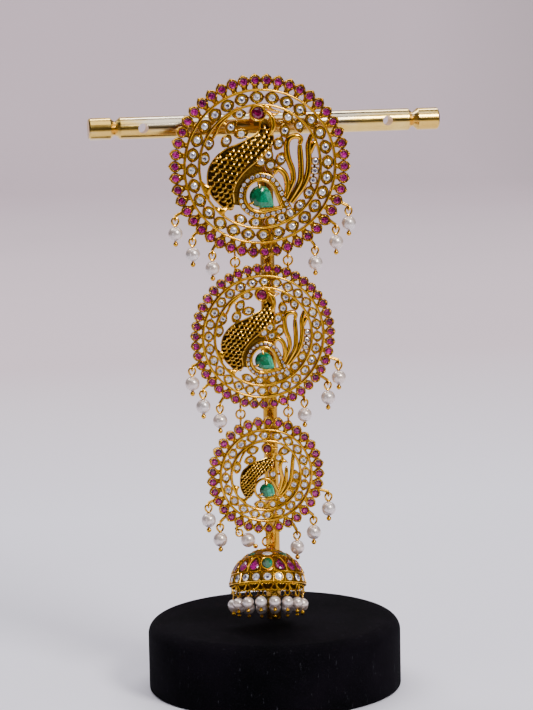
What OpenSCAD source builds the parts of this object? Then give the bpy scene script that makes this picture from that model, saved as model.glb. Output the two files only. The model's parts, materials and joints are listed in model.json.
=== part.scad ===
// Braid ornament of three pierced peacock medallions, pearl drops and a bell drop,
// hung on a plain T-bar stand. Millimetres, +Z up, the front faces -Y, and the origin
// is the middle of the stand's underside.

/* [Stand] */
// Diameter of the round base
base_d = 88; // [70:1:110]
// Height of the base
base_h = 24; // [18:1:36]
// Rounding of the base's top edge
base_edge_r = 4.5; // [2:0.5:7]
// Diameter of the post
post_d = 5; // [4:0.25:6]
// Depth of the post's seat in the base
base_seat = 14; // [8:1:16]
// Depth of the post's seat in the cross bar
bar_seat = 4.4; // [3:0.2:5]
// Diameter of the cross bar
bar_d = 7.5; // [6.5:0.25:9]
// Length of the cross bar
bar_l = 121; // [100:1:160]
// Length of the cap outside each groove
bar_cap_l = 7.3; // [5:0.1:12]
// Width of each turned groove
groove_w = 3.4; // [2:0.1:5]
// Diameter left at the bottom of a groove
groove_d = 4.6; // [3.4:0.1:6]
// Diameter of the two holes through the bar
bar_hole_d = 3.4; // [2:0.1:4]
// Distance of each hole from its end of the bar
bar_hole_in = 18.3; // [14:0.1:30]

/* [Hanging] */
// How far the ornament hangs to the right of the post
hang_x = -4; // [-10:0.5:10]
// How far the medallions' middle plane hangs in front of the post's axis
hang_y = 11; // [10:0.25:16]
// How far the bar's axis lies below the edge of the large medallion's field
bar_below_rail = 7; // [5:0.1:10]
// Width of the hook behind the large medallion
hook_w = 3; // [2:0.1:5]
// Thickness of the hook
hook_t = 0.9; // [0.6:0.1:1.5]
// Room under the lowest ball of the bell, above the base
bell_lift = 1.6; // [1:0.1:20]

/* [Large medallion] */
// Radius to the petal tips
large_tip_r = 31.2; // [27:0.1:36]
// Depth of the petal rim
large_petal = 5; // [4:0.1:6]
// Width from the outer rail's edge to the inner rail's edge
large_band = 5; // [4:0.1:6]
// Number of rubies in the rim
large_rubies_n = 46; // [40:1:50]
// Radius of a ruby
large_ruby_r = 1.18; // [0.8:0.02:1.3]
// Number of white stones in the band
large_white_n = 28; // [22:1:30]
// Radius of a white stone
large_white_r = 1.15; // [0.8:0.05:1.3]

/* [Middle medallion] */
// Radius to the petal tips
middle_tip_r = 25; // [22:0.1:29]
// Depth of the petal rim
middle_petal = 3.8; // [3.2:0.1:5]
// Width from the outer rail's edge to the inner rail's edge
middle_band = 4.05; // [3.5:0.05:5]
// Number of rubies in the rim
middle_rubies_n = 43; // [36:1:45]
// Radius of a ruby
middle_ruby_r = 1.04; // [0.7:0.02:1.1]
// Number of white stones in the band
middle_white_n = 28; // [22:1:28]
// Radius of a white stone
middle_white_r = 1; // [0.7:0.05:1.1]

/* [Small medallion] */
// Radius to the petal tips
small_tip_r = 20.4; // [18:0.1:24]
// Depth of the petal rim
small_petal = 4.2; // [3.2:0.1:5]
// Width from the outer rail's edge to the inner rail's edge
small_band = 3.8; // [3.4:0.05:4.6]
// Number of rubies in the rim
small_rubies_n = 33; // [28:1:36]
// Radius of a ruby
small_ruby_r = 1; // [0.7:0.02:1.1]
// Number of collets in the band
small_white_n = 20; // [16:1:22]
// Radius of the stone seats in the band
small_white_r = 0.95; // [0.7:0.05:1]

/* [Metal work] */
// Thickness of the medallion plates
plate_t = 1.6; // [1.2:0.1:2.2]
// Width of the round rails
rail_w = 0.75; // [0.5:0.05:1]
// Height of the rails above the plate
rail_rise = 0.8; // [0.4:0.1:1.4]
// Height of the tail plumes above the plate
plume_rise = 0.7; // [0.3:0.1:1.4]
// Height of the peacock's body above the plate
body_rise = 1.9; // [1.2:0.1:3]
// Clearance round each stone in its seat
stone_gap = 0.08; // [0.05:0.01:0.12]
// Clearance between seated pieces of metal
seat_gap = 0.05; // [0.03:0.01:0.1]

/* [Links] */
// Mean radius of a link ring
link_r = 1.55; // [1.4:0.05:2]
// Radius of a link ring's wire
link_wire = 0.35; // [0.25:0.01:0.38]
// Mean radius of an eye that a ring passes through
eye_r = 0.85; // [0.8:0.02:1]
// Radius of an eye's wire
eye_wire = 0.3; // [0.2:0.01:0.32]
// Distance of the upper links from the centre line
upper_link_x = 9.1; // [6:0.1:12]
// Gap that the upper links bridge
upper_reach = 4.87; // [4.4:0.01:6]
// Distance of the lower links from the centre line
lower_link_x = 8.3; // [6:0.1:10]
// Gap that the lower links bridge
lower_reach = 5.8; // [4.8:0.05:7]
// Distance of the bell's eye below the lowest petal tip
drop_eye_out = 1.35; // [1.3:0.05:2]

/* [Pearl drops] */
// Radius of a pearl
pearl_r = 2.5; // [2.2:0.05:2.7]
// Radius of the wire of pins and stubs
pin_wire = 0.28; // [0.2:0.01:0.3]
// Mean radius of a stub's eye
stub_eye_r = 0.8; // [0.75:0.01:0.9]
// Mean radius of the loop on a pin
pin_loop_r = 0.95; // [0.85:0.01:1.1]
// Radius of the ball that ends a pin
pin_ball_r = 0.85; // [0.6:0.05:0.95]
// Clearance of a pin in its pearl
thread_gap = 0.08; // [0.05:0.01:0.15]

/* [Bell] */
// Radius of the ellipse that the dome follows
dome_r = 13.2; // [11:0.1:14]
// Half height of that ellipse
dome_b = 15; // [13:0.1:17]
// Height of the dome from its top to its rim
dome_h = 12.6; // [11:0.1:13]
// Thickness of the dome's wall
dome_t = 0.9; // [0.6:0.05:1.2]
// Distance of the dome's top below its eye
dome_drop = 1; // [0.9:0.05:1.6]
// Height of the band of white stones
bell_band_h = 3.4; // [3.3:0.1:4]
// Number of white stones in the band
bell_white_n = 20; // [16:1:21]
// Radius of a white stone
bell_white_r = 1.4; // [1:0.05:1.45]
// Height of the pierced skirt
skirt_h = 3.9; // [3.6:0.1:5]
// Number of pearls
bell_pearl_n = 16; // [12:2:16]
// Radius of a pearl
bell_pearl_r = 2; // [1.6:0.05:2.1]
// Radius of the ring that the pearls hang in
bell_ring_r = 12; // [11.5:0.1:12.4]
// Drop from the skirt to the middle of a pearl
bell_pearl_drop = 2.8; // [2.4:0.1:4]
// Radius of the ball under a pearl
bell_ball_r = 0.65; // [0.5:0.05:0.8]
// Angle that the bell turns away from straight ahead, as it leans off the post
bell_turn = 10.5; // [0:0.5:15]

/* [Hidden] */
$fn = 48;

gold = [0.83, 0.62, 0.22];
plated = [0.93, 0.8, 0.48];
velvet = [0.06, 0.06, 0.07];
ruby = [0.72, 0.04, 0.36];
emerald = [0.05, 0.5, 0.3];
crystal = [0.92, 0.93, 0.97];
pearl = [0.96, 0.92, 0.87];

LARGE = 0;
MIDDLE = 1;
SMALL = 2;
TIP_R = [large_tip_r, middle_tip_r, small_tip_r];
PETAL = [large_petal, middle_petal, small_petal];
BAND = [large_band, middle_band, small_band];
RUBY_N = [large_rubies_n, middle_rubies_n, small_rubies_n];
RUBY_R = [large_ruby_r, middle_ruby_r, small_ruby_r];
WHITE_N = [large_white_n, middle_white_n, small_white_n];
WHITE_R = [large_white_r, middle_white_r, small_white_r];
// Angle of the first ruby and the first white stone, clockwise from the top
RUBY_TURN = [-2.2, -3.8, 3.7];
WHITE_TURN = [-1.6, 2.2, -1];

function rail_out(i) = TIP_R[i] - PETAL[i];
function rail_in(i) = rail_out(i) - BAND[i];
function field_r(i) = rail_in(i) - rail_w;
function ruby_ring(i) = rail_out(i) + PETAL[i] * ruby_share;
function white_ring(i) = (rail_out(i) - rail_w + rail_in(i)) / 2;
// Width of the band between the two rails
function band_gap(i) = BAND[i] - rail_w;

// Height of a round plate's edge above its centre, at x
function edge(r, x) = sqrt(r * r - x * x);

upper_spacing = edge(large_tip_r, upper_link_x) + edge(middle_tip_r, upper_link_x) + upper_reach;
lower_spacing = edge(middle_tip_r, lower_link_x) + edge(small_tip_r, lower_link_x) + lower_reach;

// The bell's sizes are measured down its own axis, from its eye
rim_drop = dome_drop + dome_h;
skirt_gap = 0.12;
skirt_drop = rim_drop + skirt_gap;
skirt_wall = 0.6;
skirt_flange_t = 0.5;
skirt_flange_w = 1.2;
pearl_drop = skirt_drop + skirt_h + bell_pearl_drop;
bell_ball_gap = 0.1;
ball_drop = pearl_drop + bell_pearl_r + bell_ball_gap + bell_ball_r;
rim_flange = 0.25;
rim_r = dome_r + rim_flange;
post_gap = 0.3;

// Angle at which a point r out and l down from the eye just clears the post
function lean(r, l) = acos(min(1, (hang_y - post_d / 2 - post_gap) / norm([r, l]))) - atan2(l, r);
bell_lean = max(0, lean(rim_r, rim_drop), lean(bell_ring_r + bell_pearl_r, pearl_drop));

ring_drop = small_tip_r + drop_eye_out + link_r;
pivot_drop = ring_drop + link_r;
bell_low = ball_drop * cos(bell_lean) + bell_ring_r * sin(bell_lean) + bell_ball_r;
pivot_z = base_h + bell_lift + bell_low;
small_z = pivot_z + pivot_drop;
middle_z = small_z + lower_spacing;
large_z = middle_z + upper_spacing;
MEDALLION_Z = [large_z, middle_z, small_z];
bar_over = field_r(LARGE) - bar_below_rail;
bar_z = large_z + bar_over;
bar_bottom = bar_z - bar_d / 2;

// Hook: a pad behind the plate, a strip over the bar and a tail behind it
hook_gap = 0.2;
hook_pad = 6;
hook_lip = 1.3;
hook_tail = 4;

// Raised work and stems stop this far short of the plate's back
back_inset = 0.04;
head_rise = 0.9;
head_floor = 0.5;
// Wall of the head stone's collar, in hundredths of the field's radius
bezel_wall = 3.2;

// Shape of one rim petal: share of the pitch, share of the height from valley to tip
PETAL_SHAPE = [[-0.5, 0], [-0.41, 0.32], [-0.25, 0.68], [0, 1], [0.25, 0.68], [0.41, 0.32]];
petal_valley = 0.5;
// The rubies sit at this share of the petals' depth
ruby_share = 0.56;

// Everything in a field is placed in hundredths of the field's radius: x to the right, y up.
// Peacock of the large and the middle field.
PEACOCK_BODY = [
    [24, 50], [22, 36], [9, 21], [-11, 6], [-28, -8], [-41, -25], [-46, -42], [-44, -57],
    [-47, -71], [-60, -67], [-72, -57], [-83, -42], [-88, -20], [-86, -2], [-79, 11],
    [-68, 23], [-52, 33], [-34, 39], [-16, 48], [0, 58], [4, 76], [15, 74]
];
PEACOCK_NECK = [[10, 84], [20, 77], [24, 66], [20, 54], [14, 46]];
PEACOCK_BEAK = [[8, 101], [22, 92], [35, 89], [29, 84], [19, 87], [8, 92]];
HEAD = [-2.7, 88.3];
head_bezel = 13.4;
PLUMES = [
    [[24, -12], [30, -4.5], [41, -14], [45, -30], [43, -50]],
    [[67, 35], [69, 44], [60, 48.5], [49, 44], [45, 31], [47.5, 11], [54, -8], [55, -25],
        [48, -42], [42, -54]],
    [[67, 33], [67.6, 18.6], [68.6, -3], [67, -25], [58, -43], [47, -60]],
    [[87, 49.5], [81.4, 31], [82, 6.4], [79, -17.6], [70, -38], [51, -62]],
    [[93, 38], [87.5, 30], [84, 19]]
];
plume_w = 7.6;
VINE = [[-38, 95], [-54, 82], [-66.5, 70], [-74, 55], [-83, 42]];
LEGS = [
    [[-101.5, -17], [-91, -27], [-78, -31], [-84, -38], [-87, -52]],
    [[-84, -60], [-70, -66], [-54, -67], [-61, -76], [-57, -85], [-72, -73]]
];
// Paisley round the emerald: the circle's centre, the points of the wire and of the pave band
DROP_MID = [0, -48.5];
drop_hole_r = 24.7;
DROP_HOLE_TIP = [32.5, -66.7];
drop_wire_r = 28.7;
DROP_WIRE_TIP = [39.5, -70.5];
drop_pave_r = 38;
DROP_PAVE_TIP = [54, -72.5];
EMERALD_MID = [-1, -49.9];
emerald_r = 16.9;
EMERALD_TIP = [21.5, -67.3];
// Round collets in the field, and the bars that tie them together
COLLETS = [
    [-33, 87], [-47.5, 66], [-30.4, 54.4], [-55.4, 43.6], [-84, 40.5], [-92, 15.5],
    [48.5, 79.5], [67, 65], [42.6, 57.4], [32, 36.8], [35.3, 10.8], [14.2, 18.6], [1.7, 7.4],
    [17.6, 1.7], [81.4, -46.1], [65.7, -66.7], [49, -79.5], [35, -86], [17.6, -91.2],
    [-9.3, -92.6], [-34.3, -86.3]
];
collet_r = 7.9;
collet_seat_r = 5.2;
BARS = [
    [[-47.5, 66], [-62, 75]], [[-47.5, 66], [-30.4, 54.4]], [[-30.4, 54.4], [-14, 45]],
    [[-55.4, 43.6], [-50, 28]], [[42.6, 57.4], [48.5, 79.5]], [[42.6, 57.4], [32, 36.8]],
    [[32, 36.8], [18, 36]], [[14.2, 18.6], [1.7, 7.4]], [[14.2, 18.6], [17.6, 1.7]],
    [[17.6, 1.7], [1.7, 7.4]], [[17.6, 1.7], [35.3, 10.8]], [[1.7, 7.4], [0, -14]],
    [[48.5, 79.5], [67, 65]], [[93, 5.4], [102, 5.9]], [[92, -10.3], [101.5, -11.4]],
    [[89, -26], [98, -28.6]]
];
bar_w = 4;
// Square collets between the plumes and the rail
SQUARES = [[93, 5.4], [92, -10.3], [89, -26]];
square_w = 12.4;

// Peacock of the small field, which is simpler
SMALL_BODY = [
    [20, 47], [24, 36], [19, 23], [-3, 7.5], [-25, -8], [-35, -25], [-37, -43], [-41, -57],
    [-54, -68], [-67, -55], [-75, -36], [-77, -17], [-72, 9], [-56, 27], [-34, 40], [-8, 46], [8, 52]
];
SMALL_NECK = [[10, 72], [19, 64], [20, 54], [15, 44]];
SMALL_BEAK = [[10, 88], [20, 84], [32, 84], [36, 80], [24, 77], [12, 80]];
SMALL_HEAD = [4.3, 80];
small_bezel = 13.6;
SMALL_PLUMES = [
    [[60, 38], [52, 41], [44, 34], [43, 18], [47.5, -8], [42, -34], [35, -54]],
    [[61, 18.6], [59, -17], [49, -42], [37, -60]],
    [[82, 58], [78.6, 23], [73, -17], [60, -44], [40, -64]]
];
SMALL_VINE = [[-51, 89], [-68, 62], [-76, 44], [-83, 30]];
SMALL_DROP_MID = [-3.8, -40];
small_drop_hole_r = 27.5;
SMALL_HOLE_TIP = [36, -63];
small_drop_wire_r = 34;
SMALL_WIRE_TIP = [50, -73];
SMALL_EMERALD_MID = [1, -44];
small_emerald_r = 20;
SMALL_EMERALD_TIP = [24, -60];
SMALL_COLLETS = [
    [-37.4, 76.2], [-45.4, 47], [-85.5, 27], [57, 69.3], [38.7, 50], [21, 2], [89.4, -8],
    [83, -33], [68, -58.5], [48, -75.8], [18.5, -87.8], [-17.5, -88]
];
small_collet_r = 11.5;
small_collet_seat_r = 7.6;
SMALL_BARS = [
    [[-37.4, 76.2], [-50, 87]], [[-37.4, 76.2], [-45.4, 47]], [[-45.4, 47], [-34, 38]],
    [[57, 69.3], [66, 78]], [[57, 69.3], [38.7, 50]], [[38.7, 50], [18, 44]],
    [[21, 2], [14, 20]], [[21, 2], [44, 0]], [[4.3, 88], [4.3, 102]], [[21, 2], [10, -12]],
    [[-17.5, -88], [-17, -70]], [[4.3, 70], [6, 50]]
];
small_bar_w = 6;

// Pearl drops: rim angle clockwise from straight down to the right, stub length,
// length from the eye to the pearl's middle, lean of the pin to the right
LARGE_DROPS = [
    [-60.3, 2.5, 5.2, 0], [-44.6, 2.3, 5.2, 0], [-30.3, 2.2, 5.2, 0],
    [33.2, 2.7, 5.2, 0], [50.2, 2.5, 5.2, 0], [63.3, 2.8, 5.2, 0]
];
MIDDLE_DROPS = [
    [-68, 1.6, 5.2, 0], [-49.5, 2.7, 5.2, 0], [-33.5, 2.9, 5.2, 0],
    [31.7, 1.6, 5.2, 0], [52.6, 3, 5.2, 0], [68.7, 3, 5.2, 0]
];
SMALL_DROPS = [
    [-64.7, 1.8, 5.2, 0], [-44.5, 2.7, 5.2, 0], [-28, 1.3, 4.85, 48],
    [27, 2.9, 5.2, 0], [46.2, 2.4, 5.2, 0], [70.3, 2.8, 5.2, 0]
];
DROPS = [LARGE_DROPS, MIDDLE_DROPS, SMALL_DROPS];
ball_gap = 0.1;

// Curves

function knot(a, b, c, d, t) =
    0.5 * (2 * b + (c - a) * t + (2 * a - 5 * b + 4 * c - d) * t * t
    + (3 * b - a - 3 * c + d) * t * t * t);

function smooth_line(p, k) = [
    for (i = [0:len(p) - 2], s = [0:k - 1])
        knot(p[max(i - 1, 0)], p[i], p[i + 1], p[min(i + 2, len(p) - 1)], s / k),
    p[len(p) - 1]
];

function smooth_ring(p, k) = let (n = len(p)) [
    for (i = [0:n - 1], s = [0:k - 1])
        knot(p[(i + n - 1) % n], p[i], p[(i + 1) % n], p[(i + 2) % n], s / k)
];

function side_step(c, i) =
    let (d = c[min(i + 1, len(c) - 1)] - c[max(i - 1, 0)]) [-d.y, d.x] / norm(d);

// Outline of a strip of width w along the line c
function strip(c, w) = concat(
    [for (i = [0:len(c) - 1]) c[i] + side_step(c, i) * w / 2],
    [for (i = [len(c) - 1:-1:0]) c[i] - side_step(c, i) * w / 2]
);

// Outline of a drop: a circle with a pointed tip
function drop_outline(mid, r, tip, n = 20) =
    let (v = tip - mid, far = norm(v), turn = atan2(v.y, v.x), half = acos(r / far))
    concat([tip], [for (k = [0:n]) mid + r * [
        cos(turn + half + (360 - 2 * half) * k / n),
        sin(turn + half + (360 - 2 * half) * k / n)
    ]]);

// Pointed oval, l long and w wide
function marquise(l, w, n = 5) =
    let (r = (l * l + w * w) / (4 * w), half = asin(l / 2 / r))
    concat(
        [for (k = [0:n - 1]) let (a = -half + 2 * half * k / n) [r * sin(a), r * cos(a) - r + w / 2]],
        [for (k = [0:n - 1]) let (a = half - 2 * half * k / n) [r * sin(a), r - w / 2 - r * cos(a)]]
    );

function petal_outline(i) =
    let (r = TIP_R[i] - PETAL[i] * petal_valley, rise = PETAL[i] * petal_valley)
    [for (k = [0:RUBY_N[i] - 1], s = PETAL_SHAPE)
        let (a = RUBY_TURN[i] + (k + s[0]) * 360 / RUBY_N[i])
        (r + rise * s[1]) * [sin(a), cos(a)]];

// Whether p lies inside the outline c
function inside(p, c) = len([
    for (i = [0:len(c) - 1])
        let (a = c[i], b = c[(i + 1) % len(c)])
        if ((a.y > p.y) != (b.y > p.y) && p.x < (b.x - a.x) * (p.y - a.y) / (b.y - a.y) + a.x) 1
]) % 2 == 1;

// Placing

module at_medallion(i) {
    translate([hang_x, -hang_y, MEDALLION_Z[i]]) rotate([90, 0, 0]) children();
}

module round_of(n, r, turn) {
    for (k = [0:n - 1]) rotate(-turn - k * 360 / n) translate([0, r]) children();
}

module at_bell() {
    translate([hang_x, -hang_y, pivot_z]) rotate([0, 0, -bell_turn]) rotate([-bell_lean, 0, 0]) children();
}

// Stones: a table, a crown of n faces and a pavilion of n faces, girdle at z = 0
module cut_stone(r, crown, pavilion, n = 8, table = 0.58) {
    ring = [for (k = [0:n - 1]) [cos((k + 0.5) * 360 / n), sin((k + 0.5) * 360 / n)] * r];
    cut_shape(ring, crown, pavilion, table, [0, 0]);
}

// A stone cut to any outline round the point mid
module cut_shape(ring, crown, pavilion, table, mid) {
    n = len(ring);
    points = concat(
        [for (p = ring) [mid.x + (p.x - mid.x) * table, mid.y + (p.y - mid.y) * table, crown]],
        [for (p = ring) [p.x, p.y, 0]],
        [[mid.x, mid.y, -pavilion]]
    );
    faces = concat(
        [[for (k = [n - 1:-1:0]) k]],
        [for (k = [0:n - 1]) [k, (k + 1) % n, n + (k + 1) % n, n + k]],
        [for (k = [0:n - 1]) [n + k, n + (k + 1) % n, 2 * n]]
    );
    polyhedron(points, faces);
}

// Medallion outlines

// A twelve-sided opening that a round of radius r just fits
module twelve_sided(r) {
    circle(r / cos(15), $fn = 12);
}

module round_stone_seats(i) {
    round_of(RUBY_N[i], ruby_ring(i), RUBY_TURN[i]) twelve_sided(RUBY_R[i] + stone_gap);
    round_of(WHITE_N[i], white_ring(i), WHITE_TURN[i]) twelve_sided(WHITE_R[i] + stone_gap);
}

module rim_and_band(i) {
    collet_lap = 0.15;
    collet_l = 2 * PI * white_ring(i) / WHITE_N[i] * 0.93;
    difference() {
        polygon(petal_outline(i));
        circle(rail_out(i) - rail_w);
    }
    difference() {
        circle(rail_in(i));
        circle(field_r(i));
    }
    round_of(WHITE_N[i], white_ring(i), WHITE_TURN[i])
        polygon(marquise(collet_l, band_gap(i) + 2 * collet_lap));
}

module bars(list, w) {
    for (b = list) polygon(strip(b, w));
}

module peacock_field(f) {
    polygon(PEACOCK_BEAK * f);
    polygon(strip(smooth_line(VINE, 3) * f, bar_w * f));
    for (leg = LEGS) polygon(leg * f);
    difference() {
        polygon(drop_outline(DROP_MID, drop_pave_r, DROP_PAVE_TIP) * f);
        polygon(drop_outline(DROP_MID, drop_hole_r, DROP_HOLE_TIP) * f);
    }
    for (c = COLLETS) translate(c * f) twelve_sided(collet_r * f);
    for (c = SQUARES) translate(c * f) square(square_w * f, center = true);
    bars(BARS * f, bar_w * f);
}

module peacock_seats(f) {
    for (c = concat(COLLETS, SQUARES)) translate(c * f) twelve_sided(collet_seat_r * f);
}

module small_field(f) {
    polygon(SMALL_BEAK * f);
    polygon(strip(smooth_line(SMALL_VINE, 3) * f, small_bar_w * f));
    for (leg = LEGS) polygon(leg * f);
    difference() {
        polygon(drop_outline(SMALL_DROP_MID, small_drop_wire_r, SMALL_WIRE_TIP) * f);
        polygon(drop_outline(SMALL_DROP_MID, small_drop_hole_r, SMALL_HOLE_TIP) * f);
    }
    for (c = SMALL_COLLETS) translate(c * f) twelve_sided(small_collet_r * f);
    bars(SMALL_BARS * f, small_bar_w * f);
}

module small_seats(f) {
    for (c = SMALL_COLLETS) translate(c * f) twelve_sided(small_collet_seat_r * f);
}

// Medallion relief

module rail(r_out) {
    inset = 0.05;
    w = rail_w - 2 * inset;
    round_top = 0.22;
    rotate_extrude() translate([r_out - rail_w + inset, 0]) polygon([
        [0, 0], [w, 0], [w, plate_t / 2 + rail_rise - round_top],
        [w * 0.75, plate_t / 2 + rail_rise], [w * 0.25, plate_t / 2 + rail_rise],
        [0, plate_t / 2 + rail_rise - round_top]
    ]);
}

// The peacock's body: a domed form with rows of raised scales
module scaled_body(outline, s) {
    mid = [for (k = [0, 1]) (max([for (p = outline) p[k]]) + min([for (p = outline) p[k]])) / 2];
    dome = 45 * s;
    top = plate_t / 2 + body_rise * s;
    scale_r = 0.85 * s;
    pitch = 2.15 * s;
    sunk = 0.45 * scale_r;
    margin = scale_r * 0.95;
    low = -plate_t / 2 + back_inset;
    intersection() {
        translate([0, 0, low]) linear_extrude(top - low + 1) polygon(outline);
        translate([mid.x, mid.y, top - dome]) sphere(dome, $fn = 96);
    }
    for (row = [-10:10], col = [-10:10]) {
        p = [mid.x + (col + (row % 2) / 2) * pitch, mid.y + row * pitch * 0.87];
        d = norm(p - mid);
        if (inside(p, outline) && inside(p + [margin, 0], outline) && inside(p - [margin, 0], outline)
            && inside(p + [0, margin], outline) && inside(p - [0, margin], outline))
            translate([p.x, p.y, top - dome + sqrt(dome * dome - d * d) - sunk]) sphere(scale_r, $fn = 24);
    }
}

// A collar for the head stone, closed at the back
module head_cup(p, r_out, r_seat) {
    low = -plate_t / 2 + back_inset;
    top = plate_t / 2 + head_rise;
    floor_z = -plate_t / 2 + head_floor;
    translate([p.x, p.y, 0]) rotate_extrude() polygon([
        [0, low], [r_out, low], [r_out, top], [r_seat, top], [r_seat, floor_z], [0, floor_z]
    ]);
}

// Three prongs and two back bars hold the emerald
module emerald_setting(mid, r, tip, hole_r) {
    prong_r = 0.35;
    prong_rise = 1.1;
    out = r + stone_gap + prong_r;
    back_t = 0.5;
    bar = 0.8;
    reach = hole_r + 1;
    v = (tip - mid) / norm(tip - mid);
    up = [cos(95), sin(95)];
    low = [cos(215), sin(215)];
    ends = [mid + out * up, mid + out * low, tip + v * (stone_gap + prong_r)];
    for (p = ends) translate([p.x, p.y, -plate_t / 2 + back_inset])
        cylinder(r = prong_r, h = plate_t + prong_rise, $fn = 24);
    translate([0, 0, -plate_t / 2 + back_inset]) linear_extrude(back_t) {
        polygon(strip([mid + reach * up, mid - reach * up], bar));
        polygon(strip([mid + reach * low, mid], bar));
        polygon(strip([mid, tip + v * 1.2], bar));
    }
}

// An eye that stands square to the plate, its bore along the line that the ring's wire takes
module eye(r, wire) {
    rotate([0, 90, 0]) rotate_extrude($fn = 32) translate([r, 0]) circle(wire, $fn = 24);
}

// A wire from a to b, low in the plate so that it passes under the rubies
module rod(a, b, r) {
    v = b - a;
    translate([a.x, a.y, -plate_t / 2 + back_inset + r]) rotate(atan2(v.y, v.x)) rotate([0, 90, 0])
        cylinder(r = r, h = norm(v), $fn = 24);
}

// An eye at p with its stem to the rim of medallion i
module rim_eye(i, p) {
    stem_r = 0.36;
    root = stub_root(i);
    down = p.y < 0 ? -1 : 1;
    translate([p.x, p.y, 0]) eye(eye_r, eye_wire);
    rod([p.x, down * edge(root, p.x)], [p.x, p.y - down * (eye_r - 0.1)], stem_r);
}

upper_eye = edge(large_tip_r, upper_link_x) + upper_reach / 2 - link_r;
middle_top_eye = edge(middle_tip_r, upper_link_x) + upper_reach / 2 - link_r;
middle_low_eye = edge(middle_tip_r, lower_link_x) + lower_reach / 2 - link_r;
small_top_eye = edge(small_tip_r, lower_link_x) + lower_reach / 2 - link_r;
small_low_eye = small_tip_r + drop_eye_out;

// Pearl drops, in the medallion's plane

function drop_eye(i, d) = (TIP_R[i] + d[1]) * [sin(d[0]), -cos(d[0])];
// Stems start well inside the petals' valleys
function stub_root(i) = TIP_R[i] - PETAL[i] * petal_valley - 0.5;
function drop_way(d) = [sin(d[3]), -cos(d[3])];

module stub(i, d) {
    e = drop_eye(i, d);
    way = drop_way(d);
    top = e - (stub_eye_r - 0.1) * way;
    root = stub_root(i) * top / norm(top);
    translate([e.x, e.y, 0]) rotate(d[3]) eye(stub_eye_r, pin_wire);
    rod(root, top, pin_wire * 1.2);
}

module at_drop(i, d) {
    e = drop_eye(i, d);
    translate([e.x, e.y, 0]) rotate([0, 0, d[3]]) rotate([-90, 0, 0]) children();
}

// A pin hangs along -z from its eye
module pearl_pin(d) {
    ball_z = -d[2] - pearl_r - ball_gap - pin_ball_r;
    translate([0, 0, -pin_loop_r]) rotate([90, 0, 0]) rotate_extrude($fn = 32)
        translate([pin_loop_r, 0]) circle(pin_wire, $fn = 24);
    translate([0, 0, ball_z]) cylinder(r = pin_wire, h = -2 * pin_loop_r - ball_z, $fn = 24);
    translate([0, 0, ball_z]) sphere(pin_ball_r, $fn = 32);
}

module drop_pearl(d) {
    translate([0, 0, -d[2]]) difference() {
        sphere(pearl_r);
        cylinder(r = pin_wire + thread_gap, h = 3 * pearl_r, center = true, $fn = 24);
    }
}

// Medallions

function unit(i) = field_r(i) / 100;
function upright(list) = [for (y = list) for (x = [-1, 1]) [x * y[0], y[1]]];
LINK_EYES = [
    upright([[upper_link_x, -upper_eye]]),
    upright([[upper_link_x, middle_top_eye], [lower_link_x, -middle_low_eye]]),
    concat(upright([[lower_link_x, small_top_eye]]), [[0, -small_low_eye]])
];

module plate(i) {
    f = unit(i);
    head = i == SMALL ? SMALL_HEAD : HEAD;
    r = i == SMALL ? small_bezel : head_bezel;
    translate([0, 0, -plate_t / 2]) linear_extrude(plate_t) difference() {
        union() {
            rim_and_band(i);
            if (i == SMALL) small_field(f);
            else peacock_field(f);
        }
        round_stone_seats(i);
        if (i == SMALL) small_seats(f);
        else peacock_seats(f);
        translate(head * f) twelve_sided((r - bezel_wall / 2) * f);
    }
}

// Plumes, neck and the wire round the emerald's opening
module raised_work(i) {
    f = unit(i);
    small = i == SMALL;
    start = plate_t / 4;
    mid = small ? SMALL_DROP_MID : DROP_MID;
    hole = small ? small_drop_hole_r : drop_hole_r;
    wire = small ? small_drop_wire_r - 0.7 : drop_wire_r;
    hole_tip = small ? SMALL_HOLE_TIP : DROP_HOLE_TIP;
    wire_tip = small ? SMALL_WIRE_TIP : DROP_WIRE_TIP;
    translate([0, 0, start]) linear_extrude(plate_t / 2 - start + plume_rise) {
        for (p = small ? SMALL_PLUMES : PLUMES) polygon(strip(smooth_line(p, 3) * f, plume_w * f));
        polygon(strip(smooth_line(small ? SMALL_NECK : PEACOCK_NECK, 3) * f, plume_w * f));
        difference() {
            polygon(drop_outline(mid, wire, wire_tip) * f);
            polygon(drop_outline(mid, hole + 0.7, hole_tip) * f);
        }
    }
}

module medallion(i) {
    f = unit(i);
    small = i == SMALL;
    bezel = small ? small_bezel : head_bezel;
    hole = small ? small_drop_hole_r : drop_hole_r;
    mid = small ? SMALL_EMERALD_MID : EMERALD_MID;
    tip = small ? SMALL_EMERALD_TIP : EMERALD_TIP;
    color(gold) at_medallion(i) {
        plate(i);
        rail(rail_out(i));
        rail(rail_in(i));
        scaled_body(smooth_ring(small ? SMALL_BODY : PEACOCK_BODY, 2) * f, f / unit(LARGE));
        raised_work(i);
        head_cup((small ? SMALL_HEAD : HEAD) * f, bezel * f, (bezel - bezel_wall) * f);
        emerald_setting(mid * f, (small ? small_emerald_r : emerald_r) * f, tip * f, hole * f);
        for (d = DROPS[i]) stub(i, d);
        for (p = LINK_EYES[i]) rim_eye(i, p);
    }
}

module large_medallion() { medallion(LARGE); }
module middle_medallion() { medallion(MIDDLE); }
module small_medallion() { medallion(SMALL); }

// Stones of the medallions

girdle_z = plate_t / 2 - 0.15;
stone_crown = 0.42;
stone_pavilion = 0.55;

module rubies(i) {
    color(ruby) at_medallion(i) round_of(RUBY_N[i], ruby_ring(i), RUBY_TURN[i])
        translate([0, 0, girdle_z]) cut_stone(RUBY_R[i], RUBY_R[i] * stone_crown, RUBY_R[i] * stone_pavilion);
}

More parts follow.
